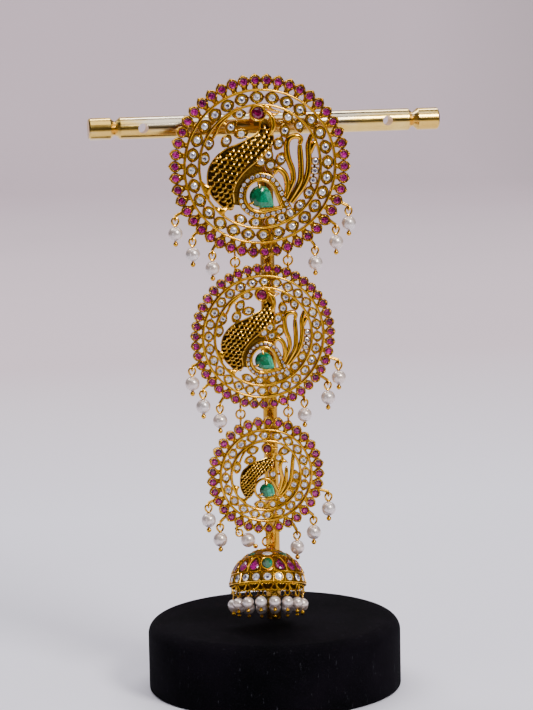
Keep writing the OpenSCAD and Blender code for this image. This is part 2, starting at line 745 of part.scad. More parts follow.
module white_stones(i) {
    r = WHITE_R[i];
    color(crystal) at_medallion(i) round_of(WHITE_N[i], white_ring(i), WHITE_TURN[i])
        translate([0, 0, girdle_z]) cut_stone(r, r * stone_crown, r * stone_pavilion);
}

module head_ruby(i) {
    f = unit(i);
    p = (i == SMALL ? SMALL_HEAD : HEAD) * f;
    r = ((i == SMALL ? small_bezel : head_bezel) - bezel_wall) * f - stone_gap;
    color(ruby) at_medallion(i) translate([p.x, p.y, plate_t / 2 + head_rise - 0.35])
        cut_stone(r, r * 0.35, r * 0.6, n = 12);
}

module emerald_stone(i) {
    f = unit(i);
    mid = (i == SMALL ? SMALL_EMERALD_MID : EMERALD_MID) * f;
    tip = (i == SMALL ? SMALL_EMERALD_TIP : EMERALD_TIP) * f;
    r = (i == SMALL ? small_emerald_r : emerald_r) * f;
    color(emerald) at_medallion(i) translate([0, 0, plate_t / 2 + 0.25])
        cut_shape(drop_outline(mid, r, tip, 12), r * 0.32, plate_t * 0.55, 0.62, mid);
}

module large_rubies() { rubies(LARGE); }
module middle_rubies() { rubies(MIDDLE); }
module small_rubies() { rubies(SMALL); }
module large_white_stones() { white_stones(LARGE); }
module middle_white_stones() { white_stones(MIDDLE); }
module large_head_ruby() { head_ruby(LARGE); }
module middle_head_ruby() { head_ruby(MIDDLE); }
module small_head_ruby() { head_ruby(SMALL); }
module large_emerald() { emerald_stone(LARGE); }
module middle_emerald() { emerald_stone(MIDDLE); }
module small_emerald() { emerald_stone(SMALL); }

module pearls(i) {
    color(pearl) at_medallion(i) for (d = DROPS[i]) at_drop(i, d) drop_pearl(d);
}

module pearl_pins(i) {
    color(gold) at_medallion(i) for (d = DROPS[i]) at_drop(i, d) pearl_pin(d);
}

module large_pearls() { pearls(LARGE); }
module middle_pearls() { pearls(MIDDLE); }
module small_pearls() { pearls(SMALL); }
module large_pearl_pins() { pearl_pins(LARGE); }
module middle_pearl_pins() { pearl_pins(MIDDLE); }
module small_pearl_pins() { pearl_pins(SMALL); }

// Links

module link(i, x, below) {
    color(gold) at_medallion(i) translate([x, -below, 0]) rotate_extrude($fn = 48)
        translate([link_r, 0]) circle(link_wire, $fn = 24);
}

module upper_link_left() { link(LARGE, -upper_link_x, upper_eye + link_r); }
module upper_link_right() { link(LARGE, upper_link_x, upper_eye + link_r); }
module lower_link_left() { link(MIDDLE, -lower_link_x, middle_low_eye + link_r); }
module lower_link_right() { link(MIDDLE, lower_link_x, middle_low_eye + link_r); }
module drop_ring() { link(SMALL, 0, ring_drop); }

// Bell, on its own axis: z = 0 at the eye and the rim below

function dome_point(a, b, u) = [a * sin(u), -dome_drop - dome_b + b * cos(u)];
function dome_end(b) = acos((dome_b - dome_h) / b);
function dome_curve(a, b, n) = [for (k = [0:n]) dome_point(a, b, dome_end(b) * k / n)];

// Angle on the dome's ellipse at a depth below its top, and the slope of the surface there
function dome_angle(depth) = acos((dome_b - depth) / dome_b);
function dome_tilt(u) = atan2(cos(u) / dome_b, sin(u) / dome_r);

// Puts children on the dome, their z axis along the outward normal
module on_dome(depth, turn) {
    u = dome_angle(depth);
    p = dome_point(dome_r, dome_b, u);
    rotate(turn) translate([0, -p.x, p.y]) rotate([90 - dome_tilt(u), 0, 0]) children();
}

band_top = dome_h - bell_band_h;
band_mid = dome_h - bell_band_h / 2;

module dome_shell() {
    outer = dome_curve(dome_r, dome_b, 10);
    inner = dome_curve(dome_r - dome_t, dome_b - dome_t, 10);
    rotate_extrude($fn = 96) polygon(concat(outer, [for (k = [10:-1:0]) inner[k]]));
}

module dome_rail(depth, h, sink = 0.5) {
    p = dome_point(dome_r, dome_b, dome_angle(depth));
    rotate_extrude($fn = 96) translate([p.x - sink, p.y]) square([sink + rim_flange, h]);
}

module setting_cup(r, rise, sink) {
    translate([0, 0, -sink]) cylinder(r = r, h = rise + sink, $fn = 32);
}

// Settings round the dome: depth below the top, number, first angle, outer radius, wall
DOME_CUPS = [
    [6.9, 4, 0, 2.35, 0.35],
    [7.2, 16, 0, 1.55, 0.28],
    [2.7, 8, 0, 1.3, 0.28]
];
cup_rise = 0.55;
cup_sink = 0.7;
cup_depth = 0.5;

// The ring of sixteen leaves out the four places that the large settings take
function cup_used(row, k) = row != 1 || k % 4 != 0;

module jhumka_dome() {
    rib_t = 0.4;
    rib_out = 0.3;
    pitch = 360 / bell_white_n;
    color(gold) at_bell() {
        difference() {
            union() {
                dome_shell();
                dome_rail(dome_h, 0.4);
                dome_rail(band_top, 0.35);
                for (k = [0:bell_white_n - 1]) on_dome(band_mid, (k + 0.5) * pitch)
                    translate([0, 0, -0.2]) cube([rib_t, bell_band_h - 0.5, 2 * rib_out], center = true);
                for (row = [0:2]) for (k = [0:DOME_CUPS[row][1] - 1]) if (cup_used(row, k))
                    on_dome(DOME_CUPS[row][0], k * 360 / DOME_CUPS[row][1])
                        setting_cup(DOME_CUPS[row][3], cup_rise, cup_sink);
                eye(eye_r, eye_wire);
                translate([0, 0, -dome_drop - dome_t / 2])
                    cylinder(r = 0.5, h = dome_drop + dome_t / 2 - eye_r, $fn = 24);
            }
            for (k = [0:bell_white_n - 1]) on_dome(band_mid, k * pitch)
                cylinder(r = bell_white_r + stone_gap, h = 4, center = true, $fn = 32);
            for (row = [0:2]) for (k = [0:DOME_CUPS[row][1] - 1]) if (cup_used(row, k))
                on_dome(DOME_CUPS[row][0], k * 360 / DOME_CUPS[row][1])
                    translate([0, 0, cup_rise - cup_depth])
                    cylinder(r = DOME_CUPS[row][3] - DOME_CUPS[row][4], h = 2, $fn = 32);
        }
    }
}

module jhumka_white_stones() {
    sunk = 0.25;
    color(crystal) at_bell() for (k = [0:bell_white_n - 1]) on_dome(band_mid, k * 360 / bell_white_n)
        translate([0, 0, -sunk]) cut_stone(bell_white_r, bell_white_r * stone_crown, 0.8);
}

// Skirt of wire work: a ring wall pierced all round, with a flange above and below
module jhumka_fringe() {
    wall_mid = bell_ring_r + 0.25;
    hole_r = min(skirt_h - 2 * skirt_flange_t - 0.3, 2 * PI * wall_mid / bell_pearl_n - 0.8) / 2;
    color(gold) at_bell() {
        difference() {
            translate([0, 0, -skirt_drop - skirt_h]) rotate_extrude($fn = 96) {
                translate([wall_mid - skirt_wall / 2, 0]) square([skirt_wall, skirt_h]);
                translate([wall_mid - skirt_flange_w / 2, 0]) square([skirt_flange_w, skirt_flange_t]);
                translate([wall_mid - skirt_flange_w / 2, skirt_h - skirt_flange_t])
                    square([skirt_flange_w, skirt_flange_t]);
            }
            for (k = [0:bell_pearl_n - 1]) rotate((k + 0.5) * 360 / bell_pearl_n)
                translate([0, -wall_mid, -skirt_drop - skirt_h / 2]) rotate([90, 0, 0])
                cylinder(r = hole_r, h = 3 * skirt_wall, center = true, $fn = 32);
        }
        for (k = [0:bell_pearl_n - 1]) rotate((k + 0.5) * 360 / bell_pearl_n)
            translate([0, -bell_ring_r, -ball_drop]) {
                cylinder(r = pin_wire, h = ball_drop - skirt_drop - skirt_h + 0.2, $fn = 24);
                sphere(bell_ball_r, $fn = 24);
            }
    }
}

module jhumka_pearls() {
    color(pearl) at_bell() for (k = [0:bell_pearl_n - 1]) rotate((k + 0.5) * 360 / bell_pearl_n)
        translate([0, -bell_ring_r, -pearl_drop]) difference() {
            sphere(bell_pearl_r, $fn = 32);
            cylinder(r = pin_wire + thread_gap, h = 3 * bell_pearl_r, center = true, $fn = 24);
        }
}

// Stand

module stand_base() {
    foot_round = 1;
    r = base_d / 2;
    color(velvet) difference() {
        rotate_extrude($fn = 128) {
            translate([0, 0]) square([r - foot_round, base_h - base_edge_r]);
            translate([0, foot_round]) square([r, base_h - base_edge_r - foot_round]);
            translate([0, 0]) square([r - base_edge_r, base_h]);
            translate([r - base_edge_r, base_h - base_edge_r]) circle(base_edge_r);
            translate([r - foot_round, foot_round]) circle(foot_round);
        }
        translate([0, 0, base_h - base_seat]) cylinder(d = post_d + 2 * seat_gap, h = base_seat + 1);
    }
}

module stand_post() {
    bottom = base_h - base_seat + seat_gap;
    color(plated) translate([0, 0, bottom])
        cylinder(d = post_d, h = bar_bottom + bar_seat - seat_gap - bottom);
}

module stand_bar() {
    r = bar_d / 2;
    half = bar_l / 2;
    end_round = 0.5;
    cap = half - bar_cap_l;
    profile = [
        [0, -half], [r - end_round, -half], [r, -half + end_round], [r, -cap],
        [groove_d / 2, -cap + groove_w / 2], [r, -cap + groove_w], [r, cap - groove_w],
        [groove_d / 2, cap - groove_w / 2], [r, cap], [r, half - end_round],
        [r - end_round, half], [0, half]
    ];
    color(plated) translate([0, 0, bar_z]) difference() {
        rotate([0, 90, 0]) rotate_extrude() polygon(profile);
        for (x = [bar_hole_in - half, half - bar_hole_in])
            translate([x, 0, 0]) rotate([90, 0, 0]) cylinder(d = bar_hole_d, h = 2 * bar_d, center = true);
        translate([0, 0, -bar_d]) cylinder(d = post_d + 2 * seat_gap, h = bar_d / 2 + bar_seat);
    }
}

// Plain hook: a pad against the back of the large medallion, then a strip over and behind the bar
module back_hook() {
    r_in = bar_d / 2 + hook_gap;
    back = -hang_y + plate_t / 2 + seat_gap;
    color(gold) translate([hang_x, 0, bar_z]) rotate([90, 0, 90]) translate([0, 0, -hook_w / 2])
        linear_extrude(hook_w) {
            translate([back, r_in + hook_t + hook_lip - hook_pad]) square([hook_t, hook_pad]);
            translate([back, r_in]) square([-back, hook_t]);
            difference() {
                circle(r_in + hook_t);
                circle(r_in);
                translate([-bar_d * 2, -bar_d * 2]) square([bar_d * 2, bar_d * 4]);
                translate([-bar_d * 2, -bar_d * 2]) square([bar_d * 4, bar_d * 2]);
            }
            translate([r_in, -hook_tail]) square([hook_t, hook_tail]);
        }
}

stand_base();
stand_post();
stand_bar();
back_hook();
large_medallion();
large_rubies();
large_white_stones();
large_head_ruby();
large_emerald();
large_pearls();
large_pearl_pins();
upper_link_left();
upper_link_right();
middle_medallion();
middle_rubies();
middle_white_stones();
middle_head_ruby();
middle_emerald();
middle_pearls();
middle_pearl_pins();
lower_link_left();
lower_link_right();
small_medallion();
small_rubies();
small_head_ruby();
small_emerald();
small_pearls();
small_pearl_pins();
drop_ring();
jhumka_dome();
jhumka_white_stones();
jhumka_fringe();
jhumka_pearls();
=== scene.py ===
import json
import math
import random

import bpy
import numpy as np
from mathutils import Matrix
from mathutils.geometry import delaunay_2d_cdt


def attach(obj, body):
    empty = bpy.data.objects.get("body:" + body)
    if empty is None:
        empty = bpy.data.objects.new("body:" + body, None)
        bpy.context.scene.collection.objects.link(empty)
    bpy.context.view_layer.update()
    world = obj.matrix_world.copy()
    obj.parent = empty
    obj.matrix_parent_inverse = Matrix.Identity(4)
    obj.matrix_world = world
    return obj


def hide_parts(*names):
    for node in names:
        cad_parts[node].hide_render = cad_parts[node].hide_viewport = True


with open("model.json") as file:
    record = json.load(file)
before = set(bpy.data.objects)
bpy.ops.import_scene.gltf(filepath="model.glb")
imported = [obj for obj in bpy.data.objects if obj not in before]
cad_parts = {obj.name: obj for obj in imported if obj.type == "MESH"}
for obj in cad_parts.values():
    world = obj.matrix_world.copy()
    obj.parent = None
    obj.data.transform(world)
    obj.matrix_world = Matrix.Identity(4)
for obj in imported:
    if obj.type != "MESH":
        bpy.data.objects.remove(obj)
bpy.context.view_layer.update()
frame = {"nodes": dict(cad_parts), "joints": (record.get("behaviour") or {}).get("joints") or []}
MM = 0.001
SEED = 7
rng = random.Random(SEED)

# Sizes shared with the CAD

LARGE, MIDDLE, SMALL = 0, 1, 2
NAMES = ["large", "middle", "small"]
BODIES = ["stand", "middle", "small"]
TIP_R = [31.2, 25.0, 20.4]
PETAL = [5.0, 3.8, 4.2]
BAND = [5.0, 4.05, 3.8]
RAIL_W = 0.75
PLATE_T = 1.6
BACK, FRONT = -PLATE_T / 2, PLATE_T / 2
RUBY_N = [46, 43, 33]
RUBY_R = [1.26, 1.12, 1.12]
RUBY_TURN = [-2.2, -3.8, 3.7]
RUBY_SHARE = 0.56
WHITE_N = [28, 28, 20]
WHITE_R = [1.15, 1.0, 0.95]
WHITE_TURN = [-1.6, 2.2, -1.0]
COLLET_STONE_R = [1.12, 0.92, 0.86]
LINK_R = 1.55
EYE_R = 0.85
EYE_WIRE = 0.3
UPPER_LINK_X = 9.1
UPPER_REACH = 4.87
LOWER_LINK_X = 8.3
LOWER_REACH = 5.8
DROP_EYE_OUT = 1.35
PEARL_R = 2.5
PIN_WIRE = 0.28
STUB_EYE_R = 0.8
PIN_BALL_R = 0.85
BALL_GAP = 0.1
BODY_RISE = 1.9
BODY_DOME_R = 45
BELL_LEAN = 19.3
BELL_TURN = 10.5
DOME_R = 13.2
DOME_B = 15.0
DOME_H = 12.6
DOME_T = 0.9
DOME_DROP = 1.0
BELL_BAND_H = 3.4
BELL_WHITE_N = 20
BELL_WHITE_R = 1.4
SKIRT_DROP = DOME_DROP + DOME_H + 0.12
SKIRT_H = 3.9
BELL_PEARL_N = 16
BELL_PEARL_R = 2.0
BELL_RING_R = 12.0
BELL_PEARL_DROP = SKIRT_DROP + SKIRT_H + 2.8
BELL_BALL_R = 0.65


def rail_out(i):
    return TIP_R[i] - PETAL[i]


def rail_in(i):
    return rail_out(i) - BAND[i]


def field_r(i):
    return rail_in(i) - RAIL_W


def share(i):
    """Size of a field beside the large medallion's."""
    return field_r(i) / field_r(LARGE)


def edge(r, x):
    return math.sqrt(r * r - x * x)


PIVOT = {j["name"]: [1000 * c for c in j["pos_m"]] for j in frame["joints"]}["jhumka_swing"]
HANG_X, HANG_Y, PIVOT_Z = PIVOT
SMALL_Z = PIVOT_Z + TIP_R[SMALL] + DROP_EYE_OUT + 2 * LINK_R
MIDDLE_Z = SMALL_Z + edge(TIP_R[MIDDLE], LOWER_LINK_X) + edge(TIP_R[SMALL], LOWER_LINK_X) + LOWER_REACH
LARGE_Z = MIDDLE_Z + edge(TIP_R[LARGE], UPPER_LINK_X) + edge(TIP_R[MIDDLE], UPPER_LINK_X) + UPPER_REACH
MEDALLION_Z = [LARGE_Z, MIDDLE_Z, SMALL_Z]

# Places in a field, in hundredths of its radius: x to the right, y up.
# A collet's third number is the direction of its leaf's long axis, in degrees.

BIRD = {
    "body": [
        [24, 50], [22, 36], [9, 21], [-11, 6], [-28, -8], [-41, -25], [-46, -42], [-44, -57],
        [-47, -71], [-60, -67], [-72, -57], [-83, -42], [-88, -20], [-86, -2], [-79, 11],
        [-68, 23], [-52, 33], [-34, 39], [-16, 48], [0, 58], [4, 76], [15, 74],
    ],
    "neck": [[9, 92], [16, 88], [21, 79], [23, 68], [20, 57], [13, 50]],
    "beaks": [
        [[6, 101], [14, 97], [23, 92], [35, 89.5]],
        [[7, 92], [15, 87], [24, 84.5], [36, 88.5]],
    ],
    "head": [-2.7, 88.3],
    "bezel": 14.2,
    "plumes": [
        [[24, -12], [30, -4.5], [41, -14], [45, -30], [43, -50]],
        [[67, 35], [69, 44], [60, 48.5], [49, 44], [45, 31],
         [47.5, 11], [54, -8], [55, -25], [48, -42], [42, -54]],
        [[67, 33], [67.6, 18.6], [68.6, -3], [67, -25], [58, -43], [47, -60]],
        [[87, 49.5], [81.4, 31], [82, 6.4], [79, -17.6], [70, -38], [51, -62]],
        [[93, 38], [87.5, 30], [84, 19]],
    ],
    "vine": [[-38, 95], [-54, 82], [-66.5, 70], [-74, 55], [-83, 42]],
    "drop_mid": [0, -48.5],
    "hole": (24.7, [32.5, -66.7]),
    "wire": (28.7, [39.5, -70.5]),
    "emerald": ([-1, -49.9], 16.9, [21.5, -67.3]),
    "collets": [
        [-33, 87, 10], [-47.5, 66, 55], [-30.4, 54.4, 15], [-55.4, 43.6, 235], [-84, 40.5, 260],
        [-92, 15.5, 75], [48.5, 79.5, 115], [67, 65, 280], [42.6, 57.4, 95], [32, 36.8, 243],
        [35.3, 10.8, 70], [14.2, 18.6, 100], [1.7, 7.4, 20], [17.6, 1.7, 60], [81.4, -46.1, 240],
        [65.7, -66.7, 45], [49, -79.5, 30], [35, -86, 10], [17.6, -91.2, 15], [-9.3, -92.6, 175],
        [-34.3, -86.3, 155],
    ],
    "bars": [
        [[-47.5, 66], [-62, 75]], [[-47.5, 66], [-30.4, 54.4]], [[-30.4, 54.4], [-14, 45]],
        [[-55.4, 43.6], [-50, 28]], [[42.6, 57.4], [48.5, 79.5]], [[42.6, 57.4], [32, 36.8]],
        [[32, 36.8], [18, 36]], [[14.2, 18.6], [1.7, 7.4]], [[14.2, 18.6], [17.6, 1.7]],
        [[17.6, 1.7], [1.7, 7.4]], [[17.6, 1.7], [35.3, 10.8]], [[1.7, 7.4], [0, -14]],
        [[48.5, 79.5], [67, 65]], [[93, 5.4], [102, 5.9]], [[92, -10.3], [101.5, -11.4]],
        [[89, -26], [98, -28.6]], [[-33, 87], [-36, 99]], [[67, 65], [75, 68]], [[-92, 15.5], [-100, 16]],
        [[81.4, -46.1], [88, -50]], [[65.7, -66.7], [71, -72]], [[-9.3, -92.6], [-10, -101]],
        [[17.6, -91.2], [18, -100]], [[48.5, 79.5], [54, 85]], [[93, 5.4], [92, -10.3]],
        [[92, -10.3], [89, -26]], [[89, -26], [81.4, -46.1]],
    ],
    "squares": [[93, 5.4], [92, -10.3], [89, -26]],
}
SMALL_BIRD = {
    "body": [
        [20, 47], [24, 36], [19, 23], [-3, 7.5], [-25, -8], [-35, -25], [-37, -43], [-41, -57], [-54, -68],
        [-67, -55], [-75, -36], [-77, -17], [-72, 9], [-56, 27], [-34, 40], [-8, 46], [8, 52],
    ],
    "neck": [[15, 83], [21, 74], [22, 62], [18, 52], [12, 46]],
    "beaks": [
        [[11, 91], [18, 89], [27, 85], [37, 81]],
        [[14, 82], [21, 79], [28, 78], [37, 80]],
    ],
    "head": [4.3, 80],
    "bezel": 16,
    "plumes": [
        [[60, 38], [52, 41], [44, 34], [43, 18], [47.5, -8], [42, -34], [35, -54]],
        [[61, 18.6], [59, -17], [49, -42], [37, -60]],
        [[82, 58], [78.6, 23], [73, -17], [60, -44], [40, -64]],
    ],
    "vine": [[-51, 89], [-68, 62], [-76, 44], [-83, 30]],
    "drop_mid": [-3.8, -40],
    "hole": (27.5, [36, -63]),
    "wire": (34, [50, -73]),
    "emerald": ([1, -44], 20, [24, -60]),
    "collets": [
        [-37.4, 76.2, 20], [-45.4, 47, 200], [-85.5, 27, 260], [57, 69.3, 20], [38.7, 50, 150],
        [21, 2, 80], [89.4, -8, 95], [83, -33, 245], [68, -58.5, 230], [48, -75.8, 30],
        [18.5, -87.8, 10], [-17.5, -88, 175],
    ],
    "bars": [
        [[-37.4, 76.2], [-50, 87]], [[-37.4, 76.2], [-45.4, 47]], [[-45.4, 47], [-34, 38]],
        [[57, 69.3], [66, 78]], [[57, 69.3], [38.7, 50]], [[38.7, 50], [18, 44]],
        [[21, 2], [14, 20]], [[21, 2], [44, 0]], [[4.3, 88], [4.3, 102]], [[21, 2], [10, -12]],
        [[-17.5, -88], [-17, -70]], [[4.3, 70], [6, 50]], [[-17.5, -88], [-18, -100]],
        [[18.5, -87.8], [19, -100]], [[48, -75.8], [53, -86]], [[68, -58.5], [77, -66]],
        [[83, -33], [94, -37]], [[89.4, -8], [101, -9]], [[89.4, -8], [83, -33]],
    ],
    "squares": [],
}
BIRDS = [BIRD, BIRD, SMALL_BIRD]
LEGS = [
    [[-101.5, -17], [-91, -27], [-78, -31], [-84, -38], [-87, -52]],
    [[-84, -60], [-70, -66], [-54, -67], [-61, -76], [-57, -85], [-72, -73]],
]
# Low plate between the body and the paisley
WEB = [
    [-6, 9], [-22, -3], [-36, -18], [-44, -34], [-46, -50], [-45, -62], [-34, -64], [-36, -48.5],
    [-33, -33], [-26, -22], [-17, -15], [-7, -11], [3, -10], [4, 2],
]
# The pave band's radius and tip: at its outer edge, inside the raised edge, at its stones and at the wire
PAVE_OUT = (38, [54, -72.5])
PAVE_SHRINK = (36.4, [51.5, -72.2])
PAVE_MID = (33.35, [47.5, -71.8])
PAVE_IN = (26.2, [36, -68.6])
PAVE_PITCH = 1.9
PAVE_STONE_R = 0.68
BEZEL_WALL = 3.6
PLUME_W = 7.6
SQUARE_W = 12.4

# Pearl drops: rim angle from straight down, stub length, eye to pearl, lean
DROPS = [
    [[-60.3, 2.5, 5.2, 0], [-44.6, 2.3, 5.2, 0], [-30.3, 2.2, 5.2, 0],
     [33.2, 2.7, 5.2, 0], [50.2, 2.5, 5.2, 0], [63.3, 2.8, 5.2, 0]],
    [[-68, 1.6, 5.2, 0], [-49.5, 2.7, 5.2, 0], [-33.5, 2.9, 5.2, 0],
     [31.7, 1.6, 5.2, 0], [52.6, 3, 5.2, 0], [68.7, 3, 5.2, 0]],
    [[-64.7, 1.8, 5.2, 0], [-44.5, 2.7, 5.2, 0], [-28, 1.3, 4.85, 48],
     [27, 2.9, 5.2, 0], [46.2, 2.4, 5.2, 0], [70.3, 2.8, 5.2, 0]],
]
# Stone cups: wall, then heights of the top edge, the floor and the base, and how much painted shade darkens
# the floor.
# Heights are from the plate's middle, or for the bell from its surface.
CUPS = {
    "rim_ruby": (0.42, FRONT + 0.34, FRONT - 0.12, BACK, 0.35),
    "band_white": (0.5, FRONT + 0.22, FRONT - 0.1, BACK, 0.2),
    "collet": (0.42, FRONT + 0.25, FRONT - 0.1, BACK, 0.2),
    "square": (0.26, FRONT + 0.2, FRONT - 0.4, BACK, 0.75),
    "bell_white": (0.18, 0.2, -0.1, -0.4, 0.75),
    "bell_emerald": (0.3, 0.5, 0.1, -0.5, 0.75),
    "bell_ruby": (0.14, 0.42, 0.1, -0.4, 0.75),
    "bell_leaf": (0.24, 0.24, 0.0, -0.5, 0.75),
    "bell_crown": (0.16, 0.14, -0.1, -0.4, 0.75),
}
SEAT_ROOM = 0.02
# Edges sharper than this, in degrees, stay sharp: between facets, and on metal and pearls
FACET_ANGLE, SMOOTH_ANGLE = 5, 38


# Small geometry

def rot(deg, a, b):
    """Turn by deg from axis a towards axis b."""
    c, s = math.cos(math.radians(deg)), math.sin(math.radians(deg))
    m = np.eye(4)
    m[a, a] = m[b, b] = c
    m[a, b], m[b, a] = -s, s
    return m


def rot_x(deg):
    return rot(deg, 1, 2)


def rot_y(deg):
    return rot(deg, 2, 0)


def rot_z(deg):
    return rot(deg, 0, 1)


def move(x, y, z=0.0):
    m = np.eye(4)
    m[:3, 3] = [x, y, z]
    return m


def heading(deg):
    """Unit vector at deg from the x axis."""
    return np.array([math.cos(math.radians(deg)), math.sin(math.radians(deg))])


def unit(v):
    return v / np.linalg.norm(v)


def angles(n, off=0):
    return (np.arange(n) + off) * 2 * math.pi / n


def spin(radii, n, off=0):
    """n points round the origin, at one radius or at one for each."""
    a = angles(n, off)
    return np.asarray(radii, float)[..., None] * np.column_stack([np.cos(a), np.sin(a)])


def with_z(p, z):
    """Points in a plane given one height, or one for each."""
    return np.column_stack([p, np.broadcast_to(z, len(p))])


def along(n, at, values):
    """n values along a line that has the given values at the given shares of it."""
    return np.interp(np.linspace(0, 1, n), at, values)


def smooth(points, k, closed=False):
    """A curve through the points, k steps for each."""
    p = np.asarray(points, float)
    n = len(p)
    out = []
    for i in range(n if closed else n - 1):
        if closed:
            a, b, c, d = p[i - 1], p[i], p[(i + 1) % n], p[(i + 2) % n]
        else:
            a, b, c, d = p[max(i - 1, 0)], p[i], p[i + 1], p[min(i + 2, n - 1)]
        for t in np.arange(k) / k:
            out.append(0.5 * (2 * b + (c - a) * t + (2 * a - 5 * b + 4 * c - d) * t * t
                              + (3 * b - a - 3 * c + d) * t ** 3))
    if not closed:
        out.append(p[-1])
    return np.array(out)


def drop_outline(mid, r, tip, n=36):
    """A circle with a pointed tip, tip first."""
    mid, tip = np.asarray(mid, float), np.asarray(tip, float)
    v = tip - mid
    half = math.acos(r / np.hypot(*v))
    a = math.atan2(v[1], v[0]) + half + 2 * (math.pi - half) * np.arange(n + 1) / n
    return np.vstack([tip, mid + r * np.column_stack([np.cos(a), np.sin(a)])])


def resample(line, step, closed=True):
    """Points at even steps along a line."""
    p = np.asarray(line, float)
    if closed:
        p = np.vstack([p, p[:1]])
    s = np.concatenate([[0], np.cumsum(np.linalg.norm(np.diff(p, axis=0), axis=1))])
    n = max(2, round(s[-1] / step))
    at = (np.arange(n) if closed else np.arange(n + 1)) * s[-1] / n
    return np.array([np.interp(at, s, p[:, k]) for k in range(p.shape[1])]).T


def inside(p, o):
    x, y = p
    x1, y1 = o[:, 0], o[:, 1]
    x2, y2 = np.roll(x1, -1), np.roll(y1, -1)
    cross = (y1 > y) != (y2 > y)
    with np.errstate(divide="ignore", invalid="ignore"):
        at = (x2 - x1) * (y - y1) / (y2 - y1) + x1
    return bool(np.count_nonzero(cross & (x < at)) % 2)


def edge_distance(points, o):
    ab = np.roll(o, -1, 0) - o
    out = []
    for p in points:
        t = np.clip(((p - o) * ab).sum(1) / np.maximum((ab * ab).sum(1), 1e-12), 0, 1)
        out.append(np.min(np.linalg.norm(p - o - ab * t[:, None], axis=1)))
    return np.array(out)


